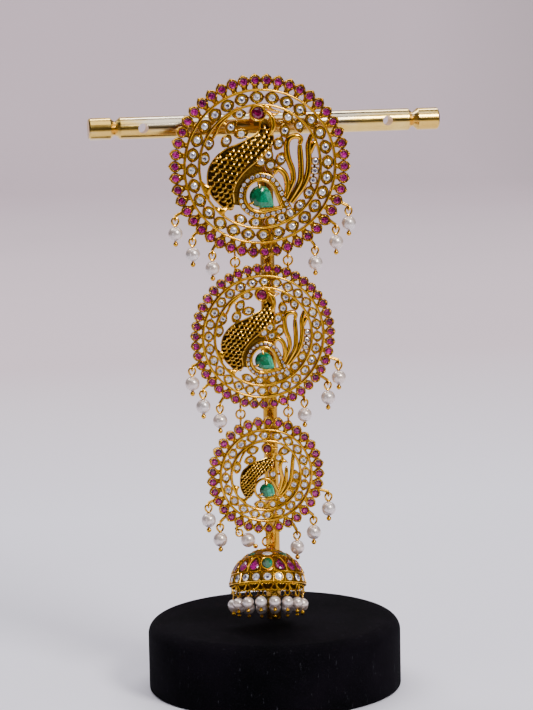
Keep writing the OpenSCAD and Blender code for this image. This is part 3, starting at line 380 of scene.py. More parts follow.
class Shape:
    """Copies of small meshes gathered into one piece. wear is 0 on polished metal and 1 where painted shade
    is darkest.
    """

    def __init__(self, place):
        self.place = place
        self.verts, self.faces, self.wear, self.tone, self.flat = [], [], [], [], []
        self.count = 0

    def add(self, verts, faces, at=None, wear=0.0, tone=0.5, flat=False):
        v = np.asarray(verts, float)
        for m in [self.place] if at is None else [at, self.place]:
            v = v @ m[:3, :3].T + m[:3, 3]
        n = len(faces)
        self.verts.append(v)
        self.faces += [tuple(k + self.count for k in f) for f in faces]
        self.wear += list(np.broadcast_to(wear, n))
        self.tone += list(np.broadcast_to(tone, n))
        self.flat += [flat] * n
        self.count += len(v)

    def rings(self, rings, at=None, wear=0.0, capped=False, closed=False):
        """Faces between rings of equal point counts. wear, the painted shade, may be one value for each step.
        """
        n, m = len(rings[0]), len(rings)
        steps = m if closed else m - 1
        faces = []
        for j in range(steps):
            a, b = j * n, ((j + 1) % m) * n
            for k in range(n):
                k2 = (k + 1) % n
                faces.append((a + k, a + k2, b + k2, b + k))
        worn = list(np.repeat(np.broadcast_to(wear, steps), n))
        if capped:
            faces += [tuple(range(n - 1, -1, -1)), tuple(range((m - 1) * n, m * n))]
            worn += [worn[0], worn[-1]]
        self.add(np.vstack(rings), faces, at, worn)

    def lathe(self, profile, n, at=None, wear=0.0):
        """profile: (radius, z) points, turned round z."""
        self.rings([with_z(spin(r, n), z) for r, z in profile], at, wear, closed=True)

    def ball(self, p, r, at=None, seg=10, rows=6):
        low = (rows - 2) * seg
        top = low + seg
        tilts = math.pi * np.arange(1, rows) / rows
        verts = [with_z(spin(math.sin(t), seg), math.cos(t)) for t in tilts] + [[[0, 0, 1], [0, 0, -1]]]
        faces = []
        for k in range(seg):
            k2 = (k + 1) % seg
            faces.append((top, k, k2))
            for j in range(0, low, seg):
                faces.append((j + k, j + seg + k, j + seg + k2, j + k2))
            faces.append((top + 1, low + k2, low + k))
        self.add(np.vstack(verts) * r + np.array(p, float), faces, at)

    def tube(self, path, radius, at=None, wear=0.0, sides=8, closed=False, up=(0, 0, 1), squash=1.0):
        """A round wire along a path. up, one or one per point, is never the path's own direction."""
        p = np.asarray(path, float)
        m = len(p)
        r = np.broadcast_to(np.asarray(radius, float), (m,))
        t = np.roll(p, -1, 0) - np.roll(p, 1, 0) if closed else np.gradient(p, axis=0)
        t /= np.linalg.norm(t, axis=1)[:, None]
        side = np.cross(np.broadcast_to(np.asarray(up, float), (m, 3)), t)
        side /= np.linalg.norm(side, axis=1)[:, None]
        rise = np.cross(t, side)
        a = angles(sides)
        rings = [p[k] + r[k] * (np.outer(np.cos(a), side[k]) + squash * np.outer(np.sin(a), rise[k]))
                 for k in range(m)]
        self.rings(rings, at, wear, not closed, closed)

    def torus(self, p, big, small, turn, at=None, n=24, sides=10):
        """A ring in the plane that turn (a rotation of the xy plane) gives."""
        m = move(*p) @ turn
        self.tube(with_z(spin(big, n), 0), small, m if at is None else at @ m, 0.0, sides, True)

    def setting(self, radii, at, seat, kind):
        """A stone's cup: radii is its outline as seen from the stone's middle."""
        wall, top, floor, base, floor_wear = CUPS[kind]
        inner = np.maximum(radii - wall, seat + SEAT_ROOM)
        steps = [
            (radii * 0.96, base), (radii, base + 0.15), (radii, top - 0.16), (radii - wall * 0.3, top),
            (np.minimum(inner + wall * 0.25, radii - wall * 0.35), top), (inner, top - 0.14), (inner, floor),
            (seat, floor - 0.05), (seat, base),
        ]
        # Painted shade: the outer wall's foot, the inner wall, the floor and the seat are darkened; the top
        # edge stays bright.
        wear = [0.35, 0.15, 0, 0, 0, 0.4, floor_wear, 0.9, 0.6]
        self.rings([with_z(spin(r, len(radii)), z) for r, z in steps], at, wear, closed=True)

    def slab(self, outline, height, grid, soft, drop, wear=0.0):
        """A filled outline whose top follows height(points) and rounds down towards its edge."""
        o = np.asarray(outline, float)
        pts = [tuple(p) for p in o]
        lo, hi = o.min(0), o.max(0)
        row, y = 0, lo[1]
        while y < hi[1]:
            x = lo[0] + (grid / 2 if row % 2 else 0)
            while x < hi[0]:
                if inside((x, y), o) and edge_distance(np.array([[x, y]]), o)[0] > grid * 0.45:
                    pts.append((x, y))
                x += grid
            y += grid * 0.87
            row += 1
        edges = [(k, (k + 1) % len(o)) for k in range(len(o))]
        v2, _, tris, *_ = delaunay_2d_cdt([(p[0], p[1]) for p in pts], edges, [], 1, 1e-6)
        v2 = np.array([[p[0], p[1]] for p in v2])
        z = height(v2) - drop * np.clip(1 - edge_distance(v2, o) / soft, 0, 1) ** 2
        self.add(with_z(v2, z), [tuple(t) for t in tris], None, wear)
        # The underside and the sides get painted shade.
        self.add(with_z(v2, BACK), [tuple(reversed(t)) for t in tris], None, 0.5)
        self.rings([with_z(o, BACK), with_z(o, height(o) - drop)], None, max(wear, 0.3))

    def make(self, name, material, body, slot, replaces=(), angle=SMOOTH_ANGLE):
        mesh = bpy.data.meshes.new(name)
        mesh.from_pydata((np.vstack(self.verts) * MM).tolist(), [], self.faces)
        # Face attributes: wear darkens metal faces as painted shade; tone gives stone facets painted light.
        for key, values in (("wear", self.wear), ("tone", self.tone)):
            layer = mesh.attributes.new(key, "FLOAT", "FACE")
            layer.data.foreach_set("value", np.array(values, np.float32))
        mesh.polygons.foreach_set("use_smooth", [not f for f in self.flat])
        mesh.set_sharp_from_angle(angle=math.radians(angle))
        mesh.validate()
        mesh.update()
        mesh.materials.append(material)
        obj = bpy.data.objects.new(name, mesh)
        bpy.context.scene.collection.objects.link(obj)
        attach(obj, body)
        if replaces:
            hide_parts(*replaces)


# Outlines as seen from a stone's middle, their point along +x

def leaf(a, b, n):
    """Pointed oval: half length a, half width b."""
    s = np.abs(np.sin(angles(n)))
    r = (a * a + b * b) / (2 * b)
    return -(r - b) * s + np.sqrt(np.maximum(r * r - (r - b) ** 2 * (1 - s * s), 0))


def pear(r, tip, n, tail=None):
    """Circle of radius r with a point at tip, and another at tail."""
    out = []
    for t in angles(n):
        t = min(t, 2 * math.pi - t)
        rad = r
        for far, off in ((tip, t), (tail, math.pi - t)):
            if far and far > r:
                half = math.acos(r / far)
                if off < half:
                    rad = max(rad, r / math.cos(half - off))
        out.append(rad)
    return np.array(out)


def oval(a, b, n):
    """Half length a along +x, half width b."""
    t = angles(n)
    return a * b / np.hypot(b * np.cos(t), a * np.sin(t))


def pointed_oval(a, b, r, tip, n):
    """An oval with a small point along +x."""
    return np.maximum(oval(a, b, n), pear(r, tip, n))


def square_outline(half, n=24, corner=0.15):
    t = angles(n)
    r = half / np.maximum(np.abs(np.cos(t)), np.abs(np.sin(t)))
    return np.minimum(r, half * (math.sqrt(2) - corner))


# Stones: each facet gets a tone, painted light that picks its colour from the deep part of the colour to the
# bright.
# base: mean tone. spread: painted glints and dark reflections, from facet to facet. lean: painted light,
# brighter towards way, in the object's x and z.
# heart: how much darker the middle may be, a painted dark reflection

CUTS = {
    "ruby": {"base": 0.42, "spread": 0.28, "lean": 0.3, "way": (-0.45, -0.9), "heart": 0.1},
    "deep": {"base": 0.36, "spread": 0.2, "lean": 0.2, "way": (-0.45, -0.9), "heart": 0.0},
    "white": {"base": 0.66, "spread": 0.42, "lean": 0.0, "way": (0, 1), "heart": 0.7},
    "emerald": {"base": 0.46, "spread": 0.1, "lean": 0.38, "way": (0.95, -0.1), "heart": 0.0},
    "dark": {"base": 0.36, "spread": 0.2, "lean": 0.25, "way": (-0.45, -0.9), "heart": 0.0},
}
HEART_R = 0.45


def add_stone(shape, at, parts, faces, kind):
    """Adds a stone, its facets coloured by painted light: brighter on the side away from the lamp, where a
    cut stone throws light back.
    """
    v = np.vstack(parts)
    m = shape.place @ at
    cut = CUTS[kind]
    middle = v.mean(0)
    size = np.abs(v - middle).max()
    shift = rng.uniform(-0.13, 0.13)
    heart = rng.uniform(0, cut["heart"])
    tones = []
    for f in faces:
        c = (v[list(f)].mean(0) - middle) / size
        w = m[:3, :3] @ np.array([c[0], c[1], 0])
        # Painted light: facets towards way are brighter.
        tone = cut["base"] + shift + cut["lean"] * (cut["way"][0] * w[0] + cut["way"][1] * w[2])
        if math.hypot(c[0], c[1]) < HEART_R:
            tone -= heart
        tones.append(min(1, max(0, tone + rng.uniform(-cut["spread"], cut["spread"]))))
    shape.add(v, faces, at, 0.0, tones, flat=True)


def cut_stone(shape, at, r, crown, kind, depth=0.4):
    """A round brilliant: table, star, kite and girdle facets."""
    parts = [
        [[0, 0, crown * 0.93]], with_z(spin(0.56 * r, 8, 0.5), crown), with_z(spin(0.8 * r, 8), crown * 0.6),
        with_z(spin(r, 16), 0), with_z(spin(0.6 * r, 16), -depth), [[0, 0, -depth * 1.3]],
    ]
    table, mid, girdle, low, point = 1, 9, 17, 33, 49
    faces = []
    for k in range(8):
        a, b, m = table + k, table + (k - 1) % 8, mid + k
        g0, g1, g2 = [girdle + (2 * k + step) % 16 for step in (-1, 0, 1)]
        faces += [(0, b, a), (b, m, a), (b, g0, m), (a, m, g2), (m, g0, g1), (m, g1, g2)]
    for k in range(16):
        k2 = (k + 1) % 16
        faces += [(girdle + k, low + k, low + k2, girdle + k2), (low + k, point, low + k2)]
    add_stone(shape, at, parts, faces, kind)


def shaped_stone(shape, outline, mid, at, crown, kind, depth, table=0.55):
    """A stone cut to an outline round mid, in two crown steps."""
    o, mid = np.asarray(outline, float), np.asarray(mid, float)
    n = len(o)
    levels = [(table, crown), (0.82, crown * 0.62), (1, 0), (0.6, -depth)]
    rings = [with_z(mid + (o - mid) * size, z) for size, z in levels]
    parts = [[[*mid, crown * 0.95]], *rings, [[*mid, -depth * 1.2]]]
    faces = []
    for k in range(n):
        k2 = (k + 1) % n
        faces.append((0, 1 + k, 1 + k2))
        for a in range(1, 3 * n, n):
            faces.append((a + k, a + n + k, a + n + k2, a + k2))
        faces.append((1 + 3 * n + k, 4 * n + 1, 1 + 3 * n + k2))
    add_stone(shape, at, parts, faces, kind)


def turned(at):
    """A place with the stone in it turned at random."""
    return at @ rot_z(rng.uniform(0, 45))


# Materials

class Look:
    """A material, and short ways to make its nodes."""

    def __init__(self, name):
        self.mat = bpy.data.materials.new(name)
        self.mat.use_nodes = True
        self.nodes, self.links = self.mat.node_tree.nodes, self.mat.node_tree.links
        self.bsdf = self.nodes["Principled BSDF"]

    def put(self, socket, value):
        """Links an output to the socket, or sets the socket's constant."""
        if hasattr(value, "node"):
            self.links.new(value, socket)
        elif socket.type == "RGBA":
            socket.default_value = (*value, 1)
        else:
            socket.default_value = value

    def node(self, kind, values, **settings):
        node = self.nodes.new("ShaderNode" + kind)
        for key, value in settings.items():
            setattr(node, key, value)
        for key, value in values.items():
            self.put(node.inputs[key], value)
        return node

    def surface(self, values):
        for key, value in values.items():
            self.put(self.bsdf.inputs[key], value)

    def place(self):
        return self.node("TexCoord", {}).outputs["Object"]

    def noise(self, scale, detail=3.0, rough=0.55, stretch=(1, 1, 1)):
        vector = self.node("Mapping", {"Vector": self.place(), "Scale": stretch}).outputs["Vector"]
        values = {"Vector": vector, "Scale": scale, "Detail": detail, "Roughness": rough}
        return self.node("TexNoise", values).outputs["Fac"]

    def attribute(self, name):
        return self.node("Attribute", {}, attribute_name=name).outputs["Fac"]

    def ramp(self, source, stops):
        node = self.node("ValToRGB", {"Fac": source})
        elements = node.color_ramp.elements
        elements.remove(elements[-1])
        for k, (pos, colour) in enumerate(stops):
            e = elements.new(pos) if k else elements[0]
            e.position = pos
            e.color = (*colour, 1)
        return node.outputs["Color"]

    def scaled(self, source, lo, hi, at_lo, at_hi):
        """lo to hi, as source goes from at_lo to at_hi."""
        values = {"Value": source, "From Min": at_lo, "From Max": at_hi, "To Min": lo, "To Max": hi}
        return self.node("MapRange", values).outputs["Result"]

    def mixed(self, factor, a, b):
        return self.node("Mix", {0: factor, 6: a, 7: b}, data_type="RGBA").outputs[2]

    def calc(self, operation, *values, clamp=False):
        return self.node("Math", dict(enumerate(values)), operation=operation, use_clamp=clamp).outputs[0]

    def bump(self, height, strength, distance):
        """distance is in millimetres."""
        values = {"Height": height, "Strength": strength, "Distance": distance * MM}
        self.surface({"Normal": self.node("Bump", values).outputs["Normal"]})


def gold(name, bright, deep, dark, rough_lo, rough_hi, grain=0.25, occlusion=0.8):
    """Plated gold: bright where polished, deeper in patches, and painted shade (the dark colour) where wear
    is 1 and in the hollows.
    """
    look = Look(name)
    patch = look.noise(260)
    fine = look.noise(2600, 2)
    # Painted shade: ambient occlusion darkens the hollows, and worn takes the darker of that and the faces'
    # wear.
    hollow = look.node("AmbientOcclusion", {"Distance": 0.8 * MM}, samples=6).outputs["AO"]
    worn = look.calc("MAXIMUM", look.scaled(hollow, occlusion, 0, 0.08, 0.78), look.attribute("wear"))
    # speck_and_shade: fine grain plus the painted shade, which mixes the plate towards the dark colour.
    speck_and_shade = look.calc("MULTIPLY_ADD", look.scaled(fine, -0.5, 0.5, 0.3, 0.7), 0.25, worn, clamp=True)
    plate = look.mixed(look.scaled(patch, 0, 1, 0.38, 0.66), bright, deep)
    polish = look.scaled(patch, rough_lo, rough_hi, 0.3, 0.7)
    rough = look.calc("MULTIPLY_ADD", speck_and_shade, 0.3, polish, clamp=True)
    look.surface({"Base Color": look.mixed(speck_and_shade, plate, dark), "Metallic": 1, "Roughness": rough})
    look.bump(fine, grain, 0.06)
    return look.mat


def gem(name, stops, ior=1.6, coat=0.35, metal=0.0):
    """A cut stone: the facet's painted light picks the colour, from painted shade to painted highlight, with
    slight clouds inside.
    """
    look = Look(name)
    cloud = look.noise(1500, 2)
    clouds = look.scaled(cloud, -0.5, 0.5, 0.25, 0.75)
    tone = look.calc("MULTIPLY_ADD", clouds, 0.22, look.attribute("tone"), clamp=True)
    look.surface({
        "Base Color": look.ramp(tone, stops), "Roughness": look.scaled(cloud, 0.05, 0.13, 0.3, 0.7),
        "IOR": ior, "Metallic": metal, "Coat Weight": coat, "Coat Roughness": 0.03,
    })
    look.bump(cloud, 0.05, 0.03)
    return look.mat


def pearl_material():
    look = Look("pearl_lustre")
    soft = look.noise(180, 2)
    fine = look.noise(1900)
    look.surface({
        "Base Color": look.mixed(look.scaled(soft, 0, 1, 0.35, 0.68), (0.76, 0.68, 0.67), (0.74, 0.58, 0.50)),
        "Roughness": look.scaled(fine, 0.29, 0.35, 0.3, 0.7), "Metallic": 0.5, "Specular IOR Level": 1.0,
        "Coat Weight": 1.0, "Coat Roughness": 0.16, "Coat IOR": 1.8,
        "Sheen Weight": 0.15, "Sheen Roughness": 0.3, "Sheen Tint": (1.0, 0.66, 0.42),
    })
    look.bump(fine, 0.06, 0.05)
    return look.mat


def velvet_material():
    look = Look("black_velvet")
    pile = look.noise(2400, 4, 0.7)
    brush = look.noise(45)
    lint = look.noise(700, 5, 0.8, (1, 1, 0.25))
    base = look.mixed(look.scaled(brush, 0, 1, 0.35, 0.7), (0.001, 0.001, 0.0015), (0.004, 0.003, 0.005))
    base = look.mixed(look.scaled(pile, 0, 0.7, 0.5, 0.72), base, (0.008, 0.007, 0.010))
    base = look.mixed(look.scaled(lint, 0, 0.8, 0.62, 0.72), base, (0.05, 0.05, 0.06))
    look.surface({
        "Base Color": base, "Roughness": 0.95, "Specular IOR Level": 0.03,
        "Sheen Weight": 0.012, "Sheen Roughness": 0.45, "Sheen Tint": (0.55, 0.55, 0.65),
    })
    look.bump(pile, 0.6, 0.25)
    return look.mat


def plated_material(name, bright, deep, silver):
    """Polished pale gold plate, worn to silver in streaks."""
    look = Look(name)
    streak = look.noise(60, 4, 0.6, (0.35, 3, 3))
    brush = look.noise(900, 3, 0.6, (0.05, 1, 1))
    patch = look.noise(90)
    plate = look.mixed(look.scaled(patch, 0, 1, 0.35, 0.7), bright, deep)
    look.surface({
        "Base Color": look.mixed(look.scaled(streak, 0, silver, 0.5, 0.62), plate, (0.66, 0.62, 0.57)),
        "Metallic": 1, "Roughness": look.scaled(brush, 0.14, 0.32, 0.3, 0.7),
    })
    look.bump(brush, 0.12, 0.05)
    return look.mat


# The third colour of each gold is the painted shade of its hollows and shaded faces.
GOLD = gold("antique_gold", (0.80, 0.43, 0.025), (0.50, 0.235, 0.01), (0.03, 0.010, 0.001),
            0.14, 0.28, occlusion=0.88)
BRIGHT = gold("polished_gold", (0.84, 0.43, 0.025), (0.56, 0.27, 0.012), (0.05, 0.018, 0.003),
              0.11, 0.24, grain=0.12)
OLD_GOLD = gold("oxidised_gold", (0.88, 0.50, 0.07), (0.6, 0.3, 0.025), (0.02, 0.010, 0.003), 0.18, 0.34)
# Gem ramps run from painted shade at 0 to painted highlights at 1.
RUBY = gem("ruby_stone", [
    (0.0, (0.02, 0.0, 0.008)), (0.3, (0.11, 0.001, 0.05)), (0.55, (0.29, 0.002, 0.15)),
    (0.8, (0.62, 0.006, 0.36)), (1.0, (0.92, 0.16, 0.66))])
DARK_RUBY = gem("dark_ruby_stone", [
    (0.0, (0.015, 0.0, 0.004)), (0.4, (0.09, 0.001, 0.02)), (0.75, (0.3, 0.006, 0.1)),
    (1.0, (0.62, 0.09, 0.3))])
EMERALD = gem("emerald_stone", [
    (0.0, (0.0, 0.008, 0.003)), (0.35, (0.001, 0.055, 0.018)), (0.6, (0.002, 0.15, 0.06)),
    (0.8, (0.006, 0.32, 0.2)), (1.0, (0.05, 0.62, 0.36))], ior=1.45)
WHITE = gem("white_stone", [
    (0.0, (0.07, 0.055, 0.11)), (0.3, (0.34, 0.31, 0.45)), (0.6, (0.88, 0.87, 0.97)),
    (1.0, (1.0, 1.0, 1.0))], ior=2.1, coat=1.0, metal=0.45)
PEARL = pearl_material()
VELVET = velvet_material()
PLATED = plated_material("plated_bar", (0.92, 0.66, 0.2), (0.80, 0.5, 0.1), 0.75)
PLATED_POST = plated_material("plated_post", (0.74, 0.40, 0.035), (0.56, 0.26, 0.015), 0.1)


# Medallions

def medallion_place(i):
    return move(HANG_X, HANG_Y, MEDALLION_Z[i]) @ rot_x(90)


def ruby_ring(i):
    return rail_out(i) + PETAL[i] * RUBY_SHARE


def white_ring(i):
    return (rail_out(i) - RAIL_W + rail_in(i)) / 2


def round_places(n, r, turn):
    """A place for each of n pieces round a ring, clockwise from the top, its x axis outwards."""
    return [rot_z(90 - turn - k * 360 / n) @ move(r, 0) for k in range(n)]


def scaled_to(i, points):
    """Places given in hundredths of a field's radius."""
    return np.asarray(points, float) * field_r(i) / 100


def link_eyes(i):
    """x and y of the eyes on the right, upper and then lower."""
    eyes = []
    if i != LARGE:
        x, reach = (UPPER_LINK_X, UPPER_REACH) if i == MIDDLE else (LOWER_LINK_X, LOWER_REACH)
        eyes.append((x, edge(TIP_R[i], x) + reach / 2 - LINK_R))
    if i != SMALL:
        x, reach = (UPPER_LINK_X, UPPER_REACH) if i == LARGE else (LOWER_LINK_X, LOWER_REACH)
        eyes.append((x, -edge(TIP_R[i], x) - reach / 2 + LINK_R))
    return eyes


def ruby_rim(i):
    """The ring of pointed lotus settings with their bead prongs."""
    s = Shape(medallion_place(i))
    ring = ruby_ring(i)
    pitch = 2 * math.pi * ring / RUBY_N[i]
    tip = TIP_R[i] - ring
    tail = ring - rail_out(i) + 0.12
    r = RUBY_R[i]
    petal = pear(pitch * 0.492, tip + 0.12, 24, tail)
    bead = r * 0.29
    for at in round_places(RUBY_N[i], ring, RUBY_TURN[i]):
        s.setting(petal, at, r + SEAT_ROOM, "rim_ruby")
        s.ball([tip - 0.5, 0, FRONT + 0.3], bead * 1.25, at)
        for deg, size in ((62, 0.7), (-62, 0.7), (125, 1.0), (-125, 1.0)):
            s.ball([*heading(deg) * (r + 0.26), FRONT + 0.32], bead * size, at)
        # The stem between the petals gets some painted shade.
        stem = [[-tail - 0.35, 0, -0.15], [-tail + 0.4, 0, -0.1], [-r + 0.1, 0, 0.0]]
        s.tube(stem, [pitch * 0.3, pitch * 0.24, pitch * 0.3], at, 0.3, 10, squash=0.8)
        s.ball([-tail + 0.28, 0, FRONT + 0.1], bead * 1.1, at)
    return s


RAIL_STEPS = 144


def rails(i, s):
    """The two round rails on their walls."""
    wall, wire, top = 0.32, RAIL_W * 0.6, FRONT + 0.42
    shoulder = top - wire * 0.72
    for r_out in (rail_out(i), rail_in(i)):
        mid = r_out - RAIL_W / 2
        crown = [(mid + wire * c, top + wire * z) for c, z in (heading(-46 + k * 27.2) for k in range(11))]
        outer, inner = mid + wall, mid - wall
        profile = [(outer, BACK), (outer, shoulder), *crown, (inner, shoulder), (inner, BACK)]
        # Painted shade on each rail's walls below its crown; the crown stays bright.
        s.lathe(profile, RAIL_STEPS, wear=[0.45] * 2 + [0.0] * 10 + [0.45] * 3)


def white_band(i):
    """The two rails and the ring of pointed collets between them, with short ties."""
    s = Shape(medallion_place(i))
    rails(i, s)
    ring = white_ring(i)
    pitch = 2 * math.pi * ring / WHITE_N[i]
    gap = BAND[i] - RAIL_W
    r = WHITE_R[i]
    outline = leaf(pitch * 0.485, max(gap * 0.49, r + 0.45), 24)
    for at in round_places(WHITE_N[i], ring, WHITE_TURN[i]):
        across = at @ rot_z(90)
        s.setting(outline, across, r + SEAT_ROOM, "band_white")
        for side in (-1, 1):
            s.ball([side * (r + 0.3), 0, FRONT + 0.22], r * 0.32, across)
        # Ties between the rails and collets get painted shade.
        s.tube([[-gap / 2 - 0.2, 0, -0.1], [gap / 2 + 0.2, 0, -0.1]], 0.3, at, 0.4, 6)
        s.tube([[0, -pitch / 2, -0.2], [0, -pitch * 0.44, -0.2]], 0.26, at, 0.4, 6)
    return s


def leaf_collet(s, p, turn, r):
    """A leaf-shaped cup with a bead at each end of its stone and a smaller one at each side."""
    at = move(*p) @ rot_z(turn)
    top = FRONT + 0.25
    s.setting(leaf(r + 1.4, r + 0.6, 24), at, r + SEAT_ROOM, "collet")
    s.ball([r + 0.27, 0, top], r * 0.26, at)
    s.ball([-r - 0.27, 0, top], r * 0.22, at)
    for side in (-1, 1):
        s.ball([0.1, side * (r + 0.12), top - 0.05], r * 0.16, at, 8, 5)


def field_metal(i):
    """Vine, collets and bars, and in the larger fields the low plate, square cups and pave band."""
    s = Shape(medallion_place(i))
    bird = BIRDS[i]
    r = COLLET_STONE_R[i]
    vine = smooth(scaled_to(i, bird["vine"]), 6)
    s.tube(with_z(vine, 0.45), along(len(vine), [0, 1], [0.6, 0.45]) * share(i) + 0.08, sides=10)
    # A darker wire behind the vine: painted shade.
    s.tube(with_z(vine, -0.35), 0.3, sides=6, wear=0.5)
    for x, y, turn in bird["collets"]:
        leaf_collet(s, scaled_to(i, [x, y]), turn, r)
    for bar in bird["bars"]:
        # The bars lie behind the front and get some painted shade.
        s.tube(with_z(scaled_to(i, bar), -0.3), 0.42, None, 0.25)
    if i == SMALL:
        return s
    # The low plate between the body and the paisley is darkened with painted shade.
    s.slab(scaled_to(i, WEB), lambda p: np.full(len(p), 0.35), 1.2, 0.4, 0.2, 0.85)
    half = scaled_to(i, SQUARE_W) / 2
    corner = half - 0.3
    for place in scaled_to(i, bird["squares"]):
        at = move(*place) @ rot_z(-4)
        s.setting(square_outline(half), at, min(r, corner), "square")
        for cx in (-1, 1):
            for cy in (-1, 1):
                s.ball([cx * corner, cy * corner, FRONT + 0.22], 0.3 * share(i), at)
    pave_metal(i, s)
    return s


def pave_line(i, spec, n=36):
    """A line round the paisley, from a radius and a tip in hundredths."""
    return scaled_to(i, drop_outline(BIRD["drop_mid"], *spec, n))


def pave_places(i):
    return resample(pave_line(i, PAVE_MID), PAVE_PITCH * share(i))


def pave_metal(i, s):
    """The band of small stones round the paisley: a plate with a raised edge and bead prongs."""
    outer, shrink, inner = [pave_line(i, spec, 72) for spec in (PAVE_OUT, PAVE_SHRINK, PAVE_IN)]
    steps = [(inner, BACK), (outer, BACK), (outer, FRONT - 0.05), (shrink, FRONT + 0.05),
             (shrink, FRONT - 0.12), (inner, FRONT - 0.12)]
    # Painted shade on the plate's back and inner floor; its raised edge stays bright.
    s.rings([with_z(line, z) for line, z in steps], None, [0.5, 0.3, 0, 0.5, 0.7, 0.5], closed=True)
    places = pave_places(i)
    k = share(i)
    for a, b in zip(places, np.roll(places, -1, 0)):
        along_x, along_y = unit(b - a)
        for way in (-1, 1):
            bead = (a + b) / 2 + np.array([-along_y, along_x]) * way * 0.5 * k
            s.ball([*bead, FRONT + 0.12], 0.2 * k, None, 8, 5)


def dome_height(i, outline):
    """Height of the peacock's rounded body, as a part of a large ball."""
    mid = (outline.max(0) + outline.min(0)) / 2
    dome = BODY_DOME_R * share(i)
    top = FRONT + BODY_RISE * share(i)
    return lambda p: top - dome + np.sqrt(dome ** 2 - ((np.asarray(p) - mid) ** 2).sum(1))


# The way that the scales bulge, and the ways of their rows and columns
SCALE_WAY = heading(-50)
ROW_WAY = heading(-12)
COLUMN_WAY = heading(78)
SCALE_PITCH, SCALE_R = 1.95, 0.95


def scale_spots(i, outline):
    """Places of the scales, in slightly uneven rows."""
    k = share(i)
    mid = (outline.min(0) + outline.max(0)) / 2
    for row in range(-17, 18):
        for col in range(-16, 17):
            p = mid + (ROW_WAY * (col + (row % 2) / 2) + COLUMN_WAY * row * 0.8) * SCALE_PITCH * k
            p = p + np.array([rng.uniform(-0.2, 0.2), rng.uniform(-0.16, 0.16)]) * k
            crest = p + 0.75 * SCALE_R * k * SCALE_WAY
            if inside(crest, outline) and edge_distance(crest[None], outline)[0] >= SCALE_R * k * 0.5:
                yield p


def peacock(i):
    """The rounded body, dark with painted shade, with rows of bright curved scales."""
    k = share(i)
    s = Shape(medallion_place(i))
    outline = smooth(scaled_to(i, BIRDS[i]["body"]), 3, True)
    height = dome_height(i, outline)
    # The body between the scales is painted fully in shade.
    s.slab(outline, lambda p: height(p) - 0.25, 1.1 * k, 1.3 * k, 0.8, 1.0)
    width = along(9, [0, 0.3, 0.7, 1], [0.12, 0.42, 0.42, 0.12]) * k
    for p in scale_spots(i, outline):
        a = np.radians(np.linspace(-138, 38, 9)) + rng.uniform(-0.3, 0.3)
        path = p + SCALE_R * k * rng.uniform(0.86, 1.05) * np.column_stack([np.cos(a), 0.92 * np.sin(a)])
        s.tube(with_z(path, height(path) + 0.12 + 0.7 * width), width, None, 0.0, 6)
    rim = resample(outline, 0.8)
    # The rim wire gets a little painted shade.
    s.tube(with_z(rim, height(rim) - 0.85), 0.26 * k + 0.03, None, 0.1, 8, True)
    return s


def plumes(i, s):
    """Tail plumes, each with a ball at its upper end and most with a second, smaller one."""
    w = scaled_to(i, PLUME_W) / 2 * (1.2 if i == SMALL else 1)
    for n, line in enumerate(BIRDS[i]["plumes"]):
        p = resample(smooth(scaled_to(i, line), 6), 0.5, False)
        r = along(len(p), [0, 0.12, 0.6, 1], [0.8, 1.05, 1.1, 0.85]) * w * 1.28
        s.tube(with_z(p, FRONT + 0.05), r, None, 0, 12, squash=0.95)
        # A darker wire behind each plume: painted shade.
        s.tube(with_z(p, BACK + 0.35), r * 0.6, None, 0.5, 6)
        s.ball([*p[0], FRONT + 0.1], 0.72 * w, None, 12, 8)
        if n != 3:
            s.ball([*(p[0] + unit(p[0] - p[2]) * w * 1.1), FRONT], 0.5 * w)


def head_bezel(i, s):
    x, y = scaled_to(i, BIRDS[i]["head"])
    out = scaled_to(i, BIRDS[i]["bezel"])
    seat = out - scaled_to(i, BEZEL_WALL)
    top = FRONT + 0.9
    profile = [
        (out * 0.97, BACK), (out, BACK + 0.3), (out, top - 0.35), (out - 0.12, top - 0.08), (out - 0.28, top),
        (seat + 0.08, top - 0.1), (seat - 0.03, top - 0.3), (seat - 0.03, 0), (seat * 0.7, -0.1),
        (seat * 0.7, BACK),
    ]
    # Painted shade on the bezel's inner wall and seat.
    s.lathe(profile, 40, move(x, y), [0.3, 0.1, 0, 0, 0, 0.2, 0.7, 0.8, 0.6, 0.4])
    s.torus([x, y, top - 0.1], (out + seat) / 2, (out - seat) / 2, rot_z(0), None, 40, 12)


def paisley(i, extra):
    """The paisley's middle line, extra hundredths outside the bright wire's line."""
    bird = BIRDS[i]
    (r0, t0), (r1, t1) = bird["hole"], bird["wire"]
    tip = (np.array(t0) + np.array(t1)) / 2
    out = unit(tip - np.array(bird["drop_mid"])) * extra * 1.45
    return scaled_to(i, drop_outline(bird["drop_mid"], (r0 + r1) / 2 + extra, tip + out))


